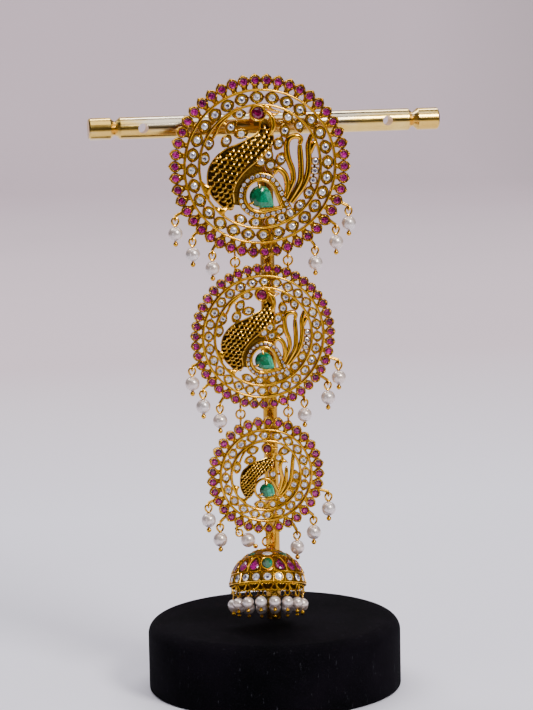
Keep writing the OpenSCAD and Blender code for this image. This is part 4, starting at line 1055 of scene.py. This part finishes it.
def bright_work(i):
    """Plumes, legs, neck, beak, head bezel and the wire round the emerald."""
    k = share(i)
    bird = BIRDS[i]
    s = Shape(medallion_place(i))
    plumes(i, s)
    for leg in LEGS:
        outline = resample(smooth(scaled_to(i, leg), 3, True), 0.45)
        s.slab(outline, lambda p: np.full(len(p), FRONT + 0.3), 0.7, 0.6, 0.4)
    neck = resample(smooth(scaled_to(i, bird["neck"]), 6), 0.3, False)
    neck_r = along(len(neck), [0, 0.4, 0.75, 1], [0.4, 1.1, 0.95, 0.35]) * k
    s.tube(with_z(neck, FRONT + 0.5), neck_r, sides=12)
    for line in bird["beaks"]:
        p = smooth(scaled_to(i, line), 5)
        s.tube(with_z(p, FRONT + 0.35), along(len(p), [0, 0.35, 1], [0.5, 0.78, 0.18]) * k, sides=10)
    head_bezel(i, s)
    s.tube(with_z(resample(paisley(i, 0), 0.5), FRONT + 0.25), 0.3 * k + 0.28, None, 0, 10, True)
    # A wire behind the paisley, with painted shade.
    s.tube(with_z(resample(paisley(i, -0.9), 0.6), -0.2), 0.46 * k + 0.06, None, 0.4, 8, True)
    emerald_prongs(i, s)
    return s


def emerald_prongs(i, s):
    """Two prongs at the sides of the emerald and one at its tip."""
    mid, r, tip = [scaled_to(i, value) for value in BIRDS[i]["emerald"]]
    hole = scaled_to(i, BIRDS[i]["hole"][0])
    for deg in (95, 215):
        d = heading(deg)
        foot, knee, end = [mid + d * reach for reach in (hole + 0.8, r + 0.45, r - 0.25)]
        path = [[*foot, -0.35], [*knee, -0.3], [*knee, FRONT + 0.55], [*end, FRONT + 0.85]]
        s.tube(path, [0.34, 0.36, 0.36, 0.26], up=(d[1], -d[0], 0))
        s.ball([*end, FRONT + 0.82], 0.36)
    v = unit(tip - mid)
    a, b = tip + v * 1.6, tip + v * 0.1
    s.tube([[*a, -0.35], [*a, FRONT + 0.3], [*b, FRONT + 0.55]], 0.32, up=(v[1], -v[0], 0))
    s.ball([*(b - v * 0.2), FRONT + 0.5], 0.36)


def drop_eye(i, drop):
    """Middle of the eye that a pearl drop hangs from."""
    return (TIP_R[i] + drop[1]) * heading(drop[0] - 90)


def coiled_wire(s, start, u, length, low):
    """Wire wound round the outer part of a stub, six points a turn."""
    side = np.array([-u[1], u[0]])
    coil = []
    for k in range(43):
        a = 2 * math.pi * k / 6
        c = start + u * length * (0.45 + 0.55 * k / 42) + side * 0.46 * math.cos(a)
        coil.append([*c, low + 0.46 * math.sin(a)])
    s.tube(coil, 0.16, None, 0.0, 5, up=(u[0], u[1], 0.02))


def stubs_and_eyes(i, s):
    """Eyes for the links and short twisted wires for the pearls, with their stems."""
    root = TIP_R[i] - PETAL[i] * 0.5 - 0.5
    low = BACK + 0.36
    # The stems behind get a little painted shade.
    for x0, y in link_eyes(i):
        for x in (-x0, x0):
            down = -1 if y < 0 else 1
            s.torus([x, y, 0], EYE_R, EYE_WIRE, rot_y(90))
            s.tube([[x, down * edge(root, x), low], [x, y - down * (EYE_R - 0.1), low]], 0.34, None, 0.1)
            s.ball([x, y - down * (EYE_R + 0.1), low], 0.42)
    if i == SMALL:
        y = -TIP_R[i] - DROP_EYE_OUT
        s.torus([0, y, 0], EYE_R, EYE_WIRE, rot_y(90))
        s.tube([[0, -root, low], [0, y + EYE_R - 0.1, low]], 0.36, None, 0.1)
    for drop in DROPS[i]:
        eye = drop_eye(i, drop)
        top = eye - (STUB_EYE_R - 0.1) * heading(drop[3] - 90)
        start = root * unit(top)
        s.torus([*eye, 0], STUB_EYE_R, PIN_WIRE * 0.95, rot_z(drop[3]) @ rot_y(90), None, 22, 8)
        s.tube(with_z(np.linspace(start, top, 5), low), PIN_WIRE * 1.7, None, 0.1)
        coiled_wire(s, start, unit(top - start), np.linalg.norm(top - start), low)


def hang(i, drop):
    """A pearl drop's place: z runs up its wire, from the eye."""
    return move(*drop_eye(i, drop)) @ rot_z(drop[3]) @ rot_x(-90)


def pins(i):
    """Ball pins: a long loop, wire wound round its neck, and a ball under the pearl."""
    s = Shape(medallion_place(i))
    a = angles(28)
    width = 1.22 * np.sin(a) * (1 - 0.3 * (0.5 - 0.5 * np.cos(a)) ** 2)
    for drop in DROPS[i]:
        at = hang(i, drop)
        neck = -drop[2] + PEARL_R + 0.28
        top = PIN_WIRE * 0.95
        half = (top - neck) / 2
        loop = np.column_stack([width, np.zeros(len(a)), top - half + half * np.cos(a)])
        s.tube(loop, PIN_WIRE * 1.3, at, 0, 8, True, (0, 1, 0))
        ball_z = -drop[2] - PEARL_R - BALL_GAP - PIN_BALL_R
        s.tube([[0, 0, neck + 0.1], [0, 0, ball_z]], PIN_WIRE * 0.9, at, up=(1, 0, 0))
        for k in range(3):
            s.torus([0, 0, neck - 0.02 - 0.17 * k], 0.3, 0.12, rot_z(0), at, 14, 6)
        s.ball([0, 0, ball_z], PIN_BALL_R, at, 18, 12)
        cap = [(0.0, 1.0), (0.42, 0.95), (0.5, 0.72), (0.0, 0.7)]
        s.lathe([(r, ball_z + z) for r, z in cap], 14, at)
    return s


def oval_pearl(s, at, z, r):
    """A slightly uneven pearl, drilled for its wire."""
    n, rows = 32, 20
    start = math.asin((PIN_WIRE + 0.08) / r)
    flat, pinch, turn = rng.uniform(0.004, 0.018), rng.uniform(0.0, 0.012), rng.uniform(0, 6.28)
    rings = []
    for t in start + (math.pi - 2 * start) * np.arange(rows + 1) / rows:
        wide = r * (1 - flat * np.cos(angles(n) + turn) ** 2 * math.sin(t) - pinch * abs(math.cos(2 * t)))
        rings.append(with_z(spin(wide * math.sin(t), n), z + wide * math.cos(t)))
    s.rings(rings, at, closed=True)


def pearls(i):
    s = Shape(medallion_place(i))
    for drop in DROPS[i]:
        oval_pearl(s, hang(i, drop), -drop[2], PEARL_R)
    return s


def stones(i):
    """The medallion's rubies, white stones, emerald and head ruby, each kind a piece."""
    rubies, whites, emeralds, darks = [Shape(medallion_place(i)) for _ in range(4)]
    bird = BIRDS[i]
    z = FRONT - 0.12
    for at in round_places(RUBY_N[i], ruby_ring(i), RUBY_TURN[i]):
        cut_stone(rubies, turned(at @ move(0, 0, z)), RUBY_R[i], 0.5 * RUBY_R[i], "ruby")
    for at in round_places(WHITE_N[i], white_ring(i), WHITE_TURN[i]):
        cut_stone(whites, turned(at @ move(0, 0, z)), WHITE_R[i], 0.28 * WHITE_R[i], "white")
    r = COLLET_STONE_R[i]
    for x, y in [spot[:2] for spot in bird["collets"]] + bird["squares"]:
        cut_stone(whites, turned(move(*scaled_to(i, [x, y]), z)), r, 0.28 * r, "white")
    if i != SMALL:
        for p in pave_places(i):
            cut_stone(whites, turned(move(*p, FRONT - 0.08)), PAVE_STONE_R * share(i), 0.25, "white")
    head_r = scaled_to(i, bird["bezel"] - BEZEL_WALL) - 0.06
    cut_stone(darks, move(*scaled_to(i, bird["head"]), FRONT + 0.55), head_r, 0.62, "dark", 0.5)
    mid, er, tip = [scaled_to(i, value) for value in bird["emerald"]]
    outline = drop_outline(mid, er * 1.08, mid + (tip - mid) * 1.06, 18)
    shaped_stone(emeralds, outline, mid, move(0, 0, FRONT + 0.25), er * 0.3, "emerald", 0.7, 0.5)
    return rubies, whites, emeralds, darks


def build_medallion(i):
    name, body = NAMES[i], BODIES[i]
    rim = ruby_rim(i)
    stubs_and_eyes(i, rim)
    rim.make(f"{name}_rim", GOLD, body, "gold", [f"{name}_medallion"])
    white_band(i).make(f"{name}_band", GOLD, body, "gold")
    field_metal(i).make(f"{name}_field", GOLD, body, "gold")
    peacock(i).make(f"{name}_peacock", OLD_GOLD, body, "gold")
    bright_work(i).make(f"{name}_plumes", BRIGHT, body, "gold")
    rubies, whites, emeralds, darks = stones(i)
    rubies.make(f"{name}_cut_rubies", RUBY, body, "ruby", [f"{name}_rubies"], FACET_ANGLE)
    white_nodes = [] if i == SMALL else [f"{name}_white_stones"]
    whites.make(f"{name}_cut_whites", WHITE, body, "white_stone", white_nodes, FACET_ANGLE)
    darks.make(f"{name}_head_stone", DARK_RUBY, body, "ruby", [f"{name}_head_ruby"], FACET_ANGLE)
    emeralds.make(f"{name}_pear_emerald", EMERALD, body, "emerald", [f"{name}_emerald"], FACET_ANGLE)
    pins(i).make(f"{name}_pins", BRIGHT, body, "gold", [f"{name}_pearl_pins"])
    pearls(i).make(f"{name}_drops", PEARL, body, "pearl", [f"{name}_pearls"])


# Bell

BELL = move(HANG_X, HANG_Y, PIVOT_Z) @ rot_z(-BELL_TURN) @ rot_x(-BELL_LEAN)
BAND_TOP = DOME_H - BELL_BAND_H
BAND_MID = DOME_H - BELL_BAND_H / 2
BELL_STEPS = 96
# Depths of the cups below the dome's top
EMERALD_DEPTH, RUBY_DEPTH, LEAF_DEPTH, CROWN_DEPTH = 6.4, 7.1, 2.6, 0.42


def dome_spot(depth, out=0.0):
    """Radius and height of the dome's surface, and the slope of its outward normal."""
    u = math.acos((DOME_B - depth) / DOME_B)
    tilt = math.atan2(math.cos(u) / DOME_B, math.sin(u) / DOME_R)
    return (DOME_R * math.sin(u) + out * math.cos(tilt),
            -DOME_DROP - DOME_B + DOME_B * math.cos(u) + out * math.sin(tilt), tilt)


def on_dome(depth, turn, out=0.0):
    r, z, tilt = dome_spot(depth)
    return rot_z(turn) @ move(0, -r, z) @ rot_x(90 - math.degrees(tilt)) @ move(0, 0, out)


def ring_spot(turn, r, z):
    """A point round the bell's axis, turn degrees from the front."""
    return [*heading(turn - 90) * r, z]


def dome_wire(s, spots, out, r, sides, closed=False):
    """A wire laid through points (depth, turn) on the dome."""
    p, up = [], []
    for depth, turn in spots:
        radius, z, tilt = dome_spot(depth, out)
        p.append(ring_spot(turn, radius, z))
        up.append(ring_spot(turn, math.cos(tilt), math.sin(tilt)))
    s.tube(p, r, None, 0, sides, closed, up)


def bell_shell(s):
    """The hollow dome with its bead rings, its eye and the cap under the eye."""
    depths = [DOME_H * (k / 22) ** 1.6 for k in range(23)]
    outer = [dome_spot(max(d, 0.002))[:2] for d in depths]
    inner = [(max(r - DOME_T, 0.02), z - DOME_T * (1 - k / 22)) for k, (r, z) in enumerate(outer)]
    # Painted shade: the outside is darkened, most on its lower part; the rim is left brighter and the inside
    # darkest.
    s.lathe(outer + inner[::-1], BELL_STEPS, wear=[0.4] * 8 + [0.8] * 14 + [0.2] + [0.9] * 23)
    for depth, r, out in ((DOME_H, 0.3, 0.05), (BAND_TOP, 0.24, 0.3), (1.15, 0.2, 0.05)):
        dome_wire(s, [(depth, k * 360 / BELL_STEPS) for k in range(BELL_STEPS)], out, r, 8, True)
    s.torus([0, 0, 0], EYE_R, EYE_WIRE, rot_y(90))
    s.lathe([(0.02, -EYE_R + 0.1), (0.5, -EYE_R), (0.7, -DOME_DROP - 0.05), (1.3, -DOME_DROP - 0.12),
             (1.2, -DOME_DROP - 0.5), (0.02, -DOME_DROP - 0.5)], 24)


def bell_metal():
    """The dome with its band of round cups, and above it emerald, ruby, leaf and crown cups with arches."""
    s = Shape(BELL)
    bell_shell(s)
    pitch = 360 / BELL_WHITE_N
    for k in range(BELL_WHITE_N):
        dome_wire(s, [(d, (k + 0.5) * pitch) for d in np.linspace(BAND_TOP, DOME_H, 7)], 0.28, 0.17, 6)
        at = on_dome(BAND_MID, k * pitch)
        s.setting(np.full(20, BELL_WHITE_R + 0.22), at, BELL_WHITE_R - 0.02, "bell_white")
        for x in (-1.22, 1.22):
            for y in (-1.15, 1.15):
                s.ball([x, y, 0.22], 0.2, at, 8, 5)
    rim = pointed_oval(2.85, 2.4, 2.2, 3.1, 28)
    for k in range(4):
        at = on_dome(EMERALD_DEPTH, k * 90) @ rot_z(-90)
        s.setting(pointed_oval(2.6, 2.15, 2.0, 2.8, 28), at, 1.6, "bell_emerald")
        s.tube(with_z(spin(rim, 28), 0.3 - rim ** 2 / (2 * DOME_R)), 0.26, at, 0, 8, True)
    for k in range(16):
        if k % 4:
            turn = k * 22.5
            s.setting(pear(1.86, 3.1, 24), on_dome(RUBY_DEPTH, turn) @ rot_z(90), 1.5, "bell_ruby")
            dome_wire(s, [(BAND_TOP - 0.1 - 5.1 * math.sin(t) ** 0.7, turn + 11 * math.cos(t))
                          for t in np.linspace(0, math.pi, 19)], 0.2, 0.24, 8)
    for k in range(8):
        turn = k * 45 + 22.5
        s.setting(leaf(2.1, 1.5, 20), on_dome(LEAF_DEPTH, k * 45), 1.1, "bell_leaf")
        s.setting(leaf(1.25, 0.85, 16), on_dome(CROWN_DEPTH, turn) @ rot_z(90), 0.5, "bell_crown")
        dome_wire(s, [(4.6 - 1.3 * math.sin(t), turn + 13 * math.cos(t))
                      for t in np.linspace(0, math.pi, 13)], 0.08, 0.17, 6)
    return s


def bell_stone(shape, at, radii, crown, kind, depth, table=0.55):
    shaped_stone(shape, spin(radii, len(radii)), [0, 0], at, crown, kind, depth, table)


def bell_stones():
    rubies, whites, emeralds = Shape(BELL), Shape(BELL), Shape(BELL)
    for k in range(BELL_WHITE_N):
        at = turned(on_dome(BAND_MID, k * 360 / BELL_WHITE_N, -0.12))
        cut_stone(whites, at, BELL_WHITE_R, 0.42, "white")
    for k in range(4):
        at = on_dome(EMERALD_DEPTH, k * 90, 0.22) @ rot_z(-90)
        bell_stone(emeralds, at, pointed_oval(2.3, 1.85, 1.7, 2.5, 18), 0.42, "emerald", 0.4, 0.42)
    for k in range(16):
        if k % 4:
            at = on_dome(RUBY_DEPTH, k * 22.5, 0.18) @ rot_z(90)
            bell_stone(rubies, at, pear(1.72, 2.9, 14), 0.4, "deep", 0.4)
    for k in range(8):
        target, kind = (emeralds, "emerald") if k % 2 else (whites, "white")
        bell_stone(target, on_dome(LEAF_DEPTH, k * 45, 0.05), leaf(2.0, 1.25, 14), 0.32, kind, 0.4)
        at = on_dome(CROWN_DEPTH, k * 45 + 22.5, 0.02) @ rot_z(90)
        bell_stone(rubies, at, leaf(1.0, 0.65, 12), 0.2, "ruby", 0.25)
    return rubies, whites, emeralds


FRINGE_WALL = BELL_RING_R + 0.25
FRINGE_TOP = -SKIRT_DROP - 0.28
FRINGE_STEP = 360 / BELL_PEARL_N


def fringe_beads(s, turn):
    """Beads under the rim, and a swag with a bead at its lowest point."""
    half = FRINGE_STEP / 2
    for off in (-2.6, 2.6):
        s.ball(ring_spot(turn + off, FRINGE_WALL + 0.12, FRINGE_TOP - 0.35), 0.4, None, 10, 7)
    for off in (-half - 2, -half + 2):
        s.ball(ring_spot(turn + off, FRINGE_WALL + 0.1, FRINGE_TOP - 0.3), 0.3, None, 8)
    sag = 1.75 + rng.uniform(-0.15, 0.15)
    s.tube([ring_spot(turn + 2.6 + (FRINGE_STEP - 5.2) * t, FRINGE_WALL + 0.15,
                      FRINGE_TOP - 0.45 - sag * math.sin(math.pi * t) ** 0.7)
            for t in np.linspace(0, 1, 15)], 0.2, None, 0, 7)
    s.ball(ring_spot(turn + half, FRINGE_WALL + 0.2, FRINGE_TOP - 0.5 - sag), 0.36, None, 10, 7)


def fringe_loop(s, turn, low):
    """The long loop above a pearl: two wires that bow out and cross just above low."""
    high = FRINGE_TOP - 0.5
    lean = rng.uniform(-0.25, 0.25)
    out, side = np.array([*heading(turn - 90), 0]), np.array([*heading(turn), 0])
    for sign in (-1, 1):
        path = []
        for t in np.linspace(0, 1, 13):
            w = 0.95 * math.sin(math.pi * min(1, t * 1.02)) ** 0.6 + 0.12
            if t >= 0.86:
                w = (0.12 - (t - 0.86) * 2.2) * 1.6
            path.append(out * (FRINGE_WALL - 0.25 * t) + side * (w * sign + lean * math.sin(math.pi * t))
                        + np.array([0, 0, high + (low - high) * t]))
        s.tube(path, 0.17, None, 0, 6, up=out)


def bell_fringe():
    """Wire lattice under the rim: beads, swags and long loops that carry the pearls on ball pins."""
    s = Shape(BELL)
    ring = [ring_spot(k * 360 / BELL_STEPS, FRINGE_WALL, FRINGE_TOP) for k in range(BELL_STEPS)]
    s.tube(ring, 0.26, None, 0, 8, True)
    loop_end = -BELL_PEARL_DROP + BELL_PEARL_R - 0.05
    ball_z = -BELL_PEARL_DROP - BELL_PEARL_R - BALL_GAP - BELL_BALL_R
    for k in range(BELL_PEARL_N):
        turn = (k + 0.5) * FRINGE_STEP
        fringe_beads(s, turn)
        fringe_loop(s, turn, loop_end)
        pin = move(*ring_spot(turn, BELL_RING_R, 0))
        s.tube([[0, 0, loop_end + 0.3], [0, 0, ball_z]], 0.24, pin, 0, 7, up=(1, 0, 0))
        s.torus([0, 0, loop_end + 0.12], 0.3, 0.13, rot_z(0), pin, 14, 6)
        s.ball([0, 0, ball_z], BELL_BALL_R, pin, 16, 10)
        # A lower wire inside the fringe, with painted shade.
        s.tube([ring_spot(turn + a, FRINGE_WALL - 0.1, FRINGE_TOP - 2.35 - 0.25 * math.cos(a))
                for a in np.linspace(-FRINGE_STEP / 2, FRINGE_STEP / 2, 7)], 0.18, None, 0.3, 6)
    return s


def build_bell():
    bell_metal().make("bell_dome", GOLD, "jhumka", "gold", ["jhumka_dome"])
    rubies, whites, emeralds = bell_stones()
    rubies.make("bell_rubies", RUBY, "jhumka", "ruby", (), FACET_ANGLE)
    whites.make("bell_whites", WHITE, "jhumka", "white_stone", ["jhumka_white_stones"], FACET_ANGLE)
    emeralds.make("bell_emeralds", EMERALD, "jhumka", "emerald", (), FACET_ANGLE)
    bell_fringe().make("bell_fringe", GOLD, "jhumka", "gold", ["jhumka_fringe"])
    s = Shape(BELL)
    for k in range(BELL_PEARL_N):
        at = move(*ring_spot((k + 0.5) * FRINGE_STEP, BELL_RING_R, 0))
        oval_pearl(s, at, -BELL_PEARL_DROP, BELL_PEARL_R)
    s.make("bell_pearls", PEARL, "jhumka", "pearl", ["jhumka_pearls"])


# Nodes that stay as the CAD made them

DRESSED = {"stand_base": VELVET, "stand_post": PLATED_POST, "stand_bar": PLATED}
LINKS = ["upper_link_left", "upper_link_right", "lower_link_left", "lower_link_right"]
DRESSED.update(dict.fromkeys(["back_hook", "drop_ring", *LINKS], BRIGHT))

for i in (LARGE, MIDDLE, SMALL):
    build_medallion(i)
build_bell()
for node, material in DRESSED.items():
    materials = frame["nodes"][node].data.materials
    materials.clear()
    materials.append(material)


# Stage, light and camera, in metres

FLAT_R, CURVE_R, WALL_H = 1.9, 0.4, 1.6
AIM = (0, 0, 0.11)
# Name, place, aim, size, watts, colour
LIGHTS = [
    ("key", (0.36, -0.7, 0.72), AIM, (0.26, 0.26), 9.5, (1.0, 0.98, 0.95)),
    ("soft_right", (0.95, -0.6, 0.45), AIM, (0.8, 0.9), 1.9, (1, 1, 1)),
    ("top", (-0.1, -0.15, 0.85), AIM, (0.7, 0.5), 2.2, (1, 1, 1)),
    ("strip_left", (-0.8, -0.7, 0.2), AIM, (0.15, 0.5), 0.7, (0.95, 0.97, 1.0)),
    ("back_glow", (0.0, 0.8, 1.5), (0, 1.35, 0.0), (2.4, 0.6), 46, (1, 1, 1)),
]
CAMERA = {"place": (-179.6, -984.2, 268.8), "yaw": 10.29, "pitch": -8.642, "roll": -1.1, "focal_px": 2936}
IMAGE_H = 710
SENSOR = 36


def add_object(name, data):
    obj = bpy.data.objects.new(name, data)
    bpy.context.scene.collection.objects.link(obj)
    return obj


def facing(place, x, y, z):
    """The matrix of an object at place with these axes."""
    return Matrix([[x[k], y[k], z[k], place[k]] for k in range(3)] + [[0, 0, 0, 1]])


def floor_material():
    """Pale round the object and behind it, dark behind the camera and at the sides."""
    look = Look("studio_floor")
    cloud = look.noise(3, 2)
    parts = look.node("SeparateXYZ", {"Vector": look.place()}).outputs
    wall = look.mixed(cloud, (0.60, 0.49, 0.55), (0.66, 0.55, 0.61))
    ground = look.mixed(cloud, (0.76, 0.73, 0.86), (0.82, 0.80, 0.90))
    pale = look.mixed(look.scaled(parts["Y"], 0, 1, 0.3, 0.75), ground, wall)
    near = look.scaled(parts["Y"], 1, 0, -0.75, -0.38)
    aside = look.scaled(look.calc("ABSOLUTE", parts["X"]), 0, 1, 0.55, 1.1)
    colour = look.mixed(look.calc("MAXIMUM", near, aside), pale, (0.19, 0.17, 0.16))
    look.surface({"Base Color": colour, "Roughness": 0.9})
    return look.mat


def stage():
    """A round floor that curves up into a wall all round."""
    n = 96
    profile = [(r, 0.0) for r in (0.02, 0.1, 0.2, 0.3, 0.45, 0.6, 0.8, 1.0, 1.3, 1.6, FLAT_R)]
    for k in range(1, 9):
        c, s = heading(90 * k / 8)
        profile.append((FLAT_R + CURVE_R * s, CURVE_R - CURVE_R * c))
    profile.append((FLAT_R + CURVE_R, WALL_H))
    verts = np.vstack([with_z(spin(r, n), z) for r, z in profile])
    faces = [(j * n + k, j * n + (k + 1) % n, (j + 1) * n + (k + 1) % n, (j + 1) * n + k)
             for j in range(len(profile) - 1) for k in range(n)]
    faces.append(tuple(range(n)))
    mesh = bpy.data.meshes.new("studio_bowl")
    mesh.from_pydata(verts.tolist(), [], faces)
    mesh.polygons.foreach_set("use_smooth", [True] * len(faces))
    mesh.materials.append(floor_material())
    obj = add_object("studio_bowl", mesh)


def lights():
    """Soft lights that the camera doesn't see, and a dim even world."""
    for name, place, aim, size, watts, colour in LIGHTS:
        data = bpy.data.lights.new(name, "AREA")
        data.shape = "RECTANGLE"
        data.size, data.size_y = size
        data.energy = watts
        data.color = colour
        z = unit(np.array(place, float) - np.array(aim, float))
        x = unit(np.cross([0, 0, 1], z))
        obj = add_object(name, data)
        obj.matrix_world = facing(place, x, np.cross(z, x), z)
        obj.visible_camera = False
    world = bpy.data.worlds.new("studio")
    world.use_nodes = True
    back = world.node_tree.nodes["Background"]
    back.inputs["Color"].default_value = (0.60, 0.57, 0.62, 1)
    back.inputs["Strength"].default_value = 0.11
    bpy.context.scene.world = world


def camera():
    """Placed so that the bar, the medallions and the base fall where the photograph has them."""
    data = bpy.data.cameras.new("camera")
    data.sensor_width = SENSOR
    data.lens = SENSOR * CAMERA["focal_px"] / IMAGE_H
    data.clip_start, data.clip_end = 0.05, 20
    cos_yaw, sin_yaw = heading(CAMERA["yaw"])
    cos_pitch, sin_pitch = heading(CAMERA["pitch"])
    c, s = heading(CAMERA["roll"])
    ahead = np.array([sin_yaw * cos_pitch, cos_yaw * cos_pitch, sin_pitch])
    level = np.array([cos_yaw, -sin_yaw, 0])
    over = np.cross(level, ahead)
    obj = add_object("camera", data)
    place = np.array(CAMERA["place"]) * MM
    obj.matrix_world = facing(place, c * level + s * over, c * over - s * level, -ahead)
    bpy.context.scene.camera = obj


stage()
lights()
camera()
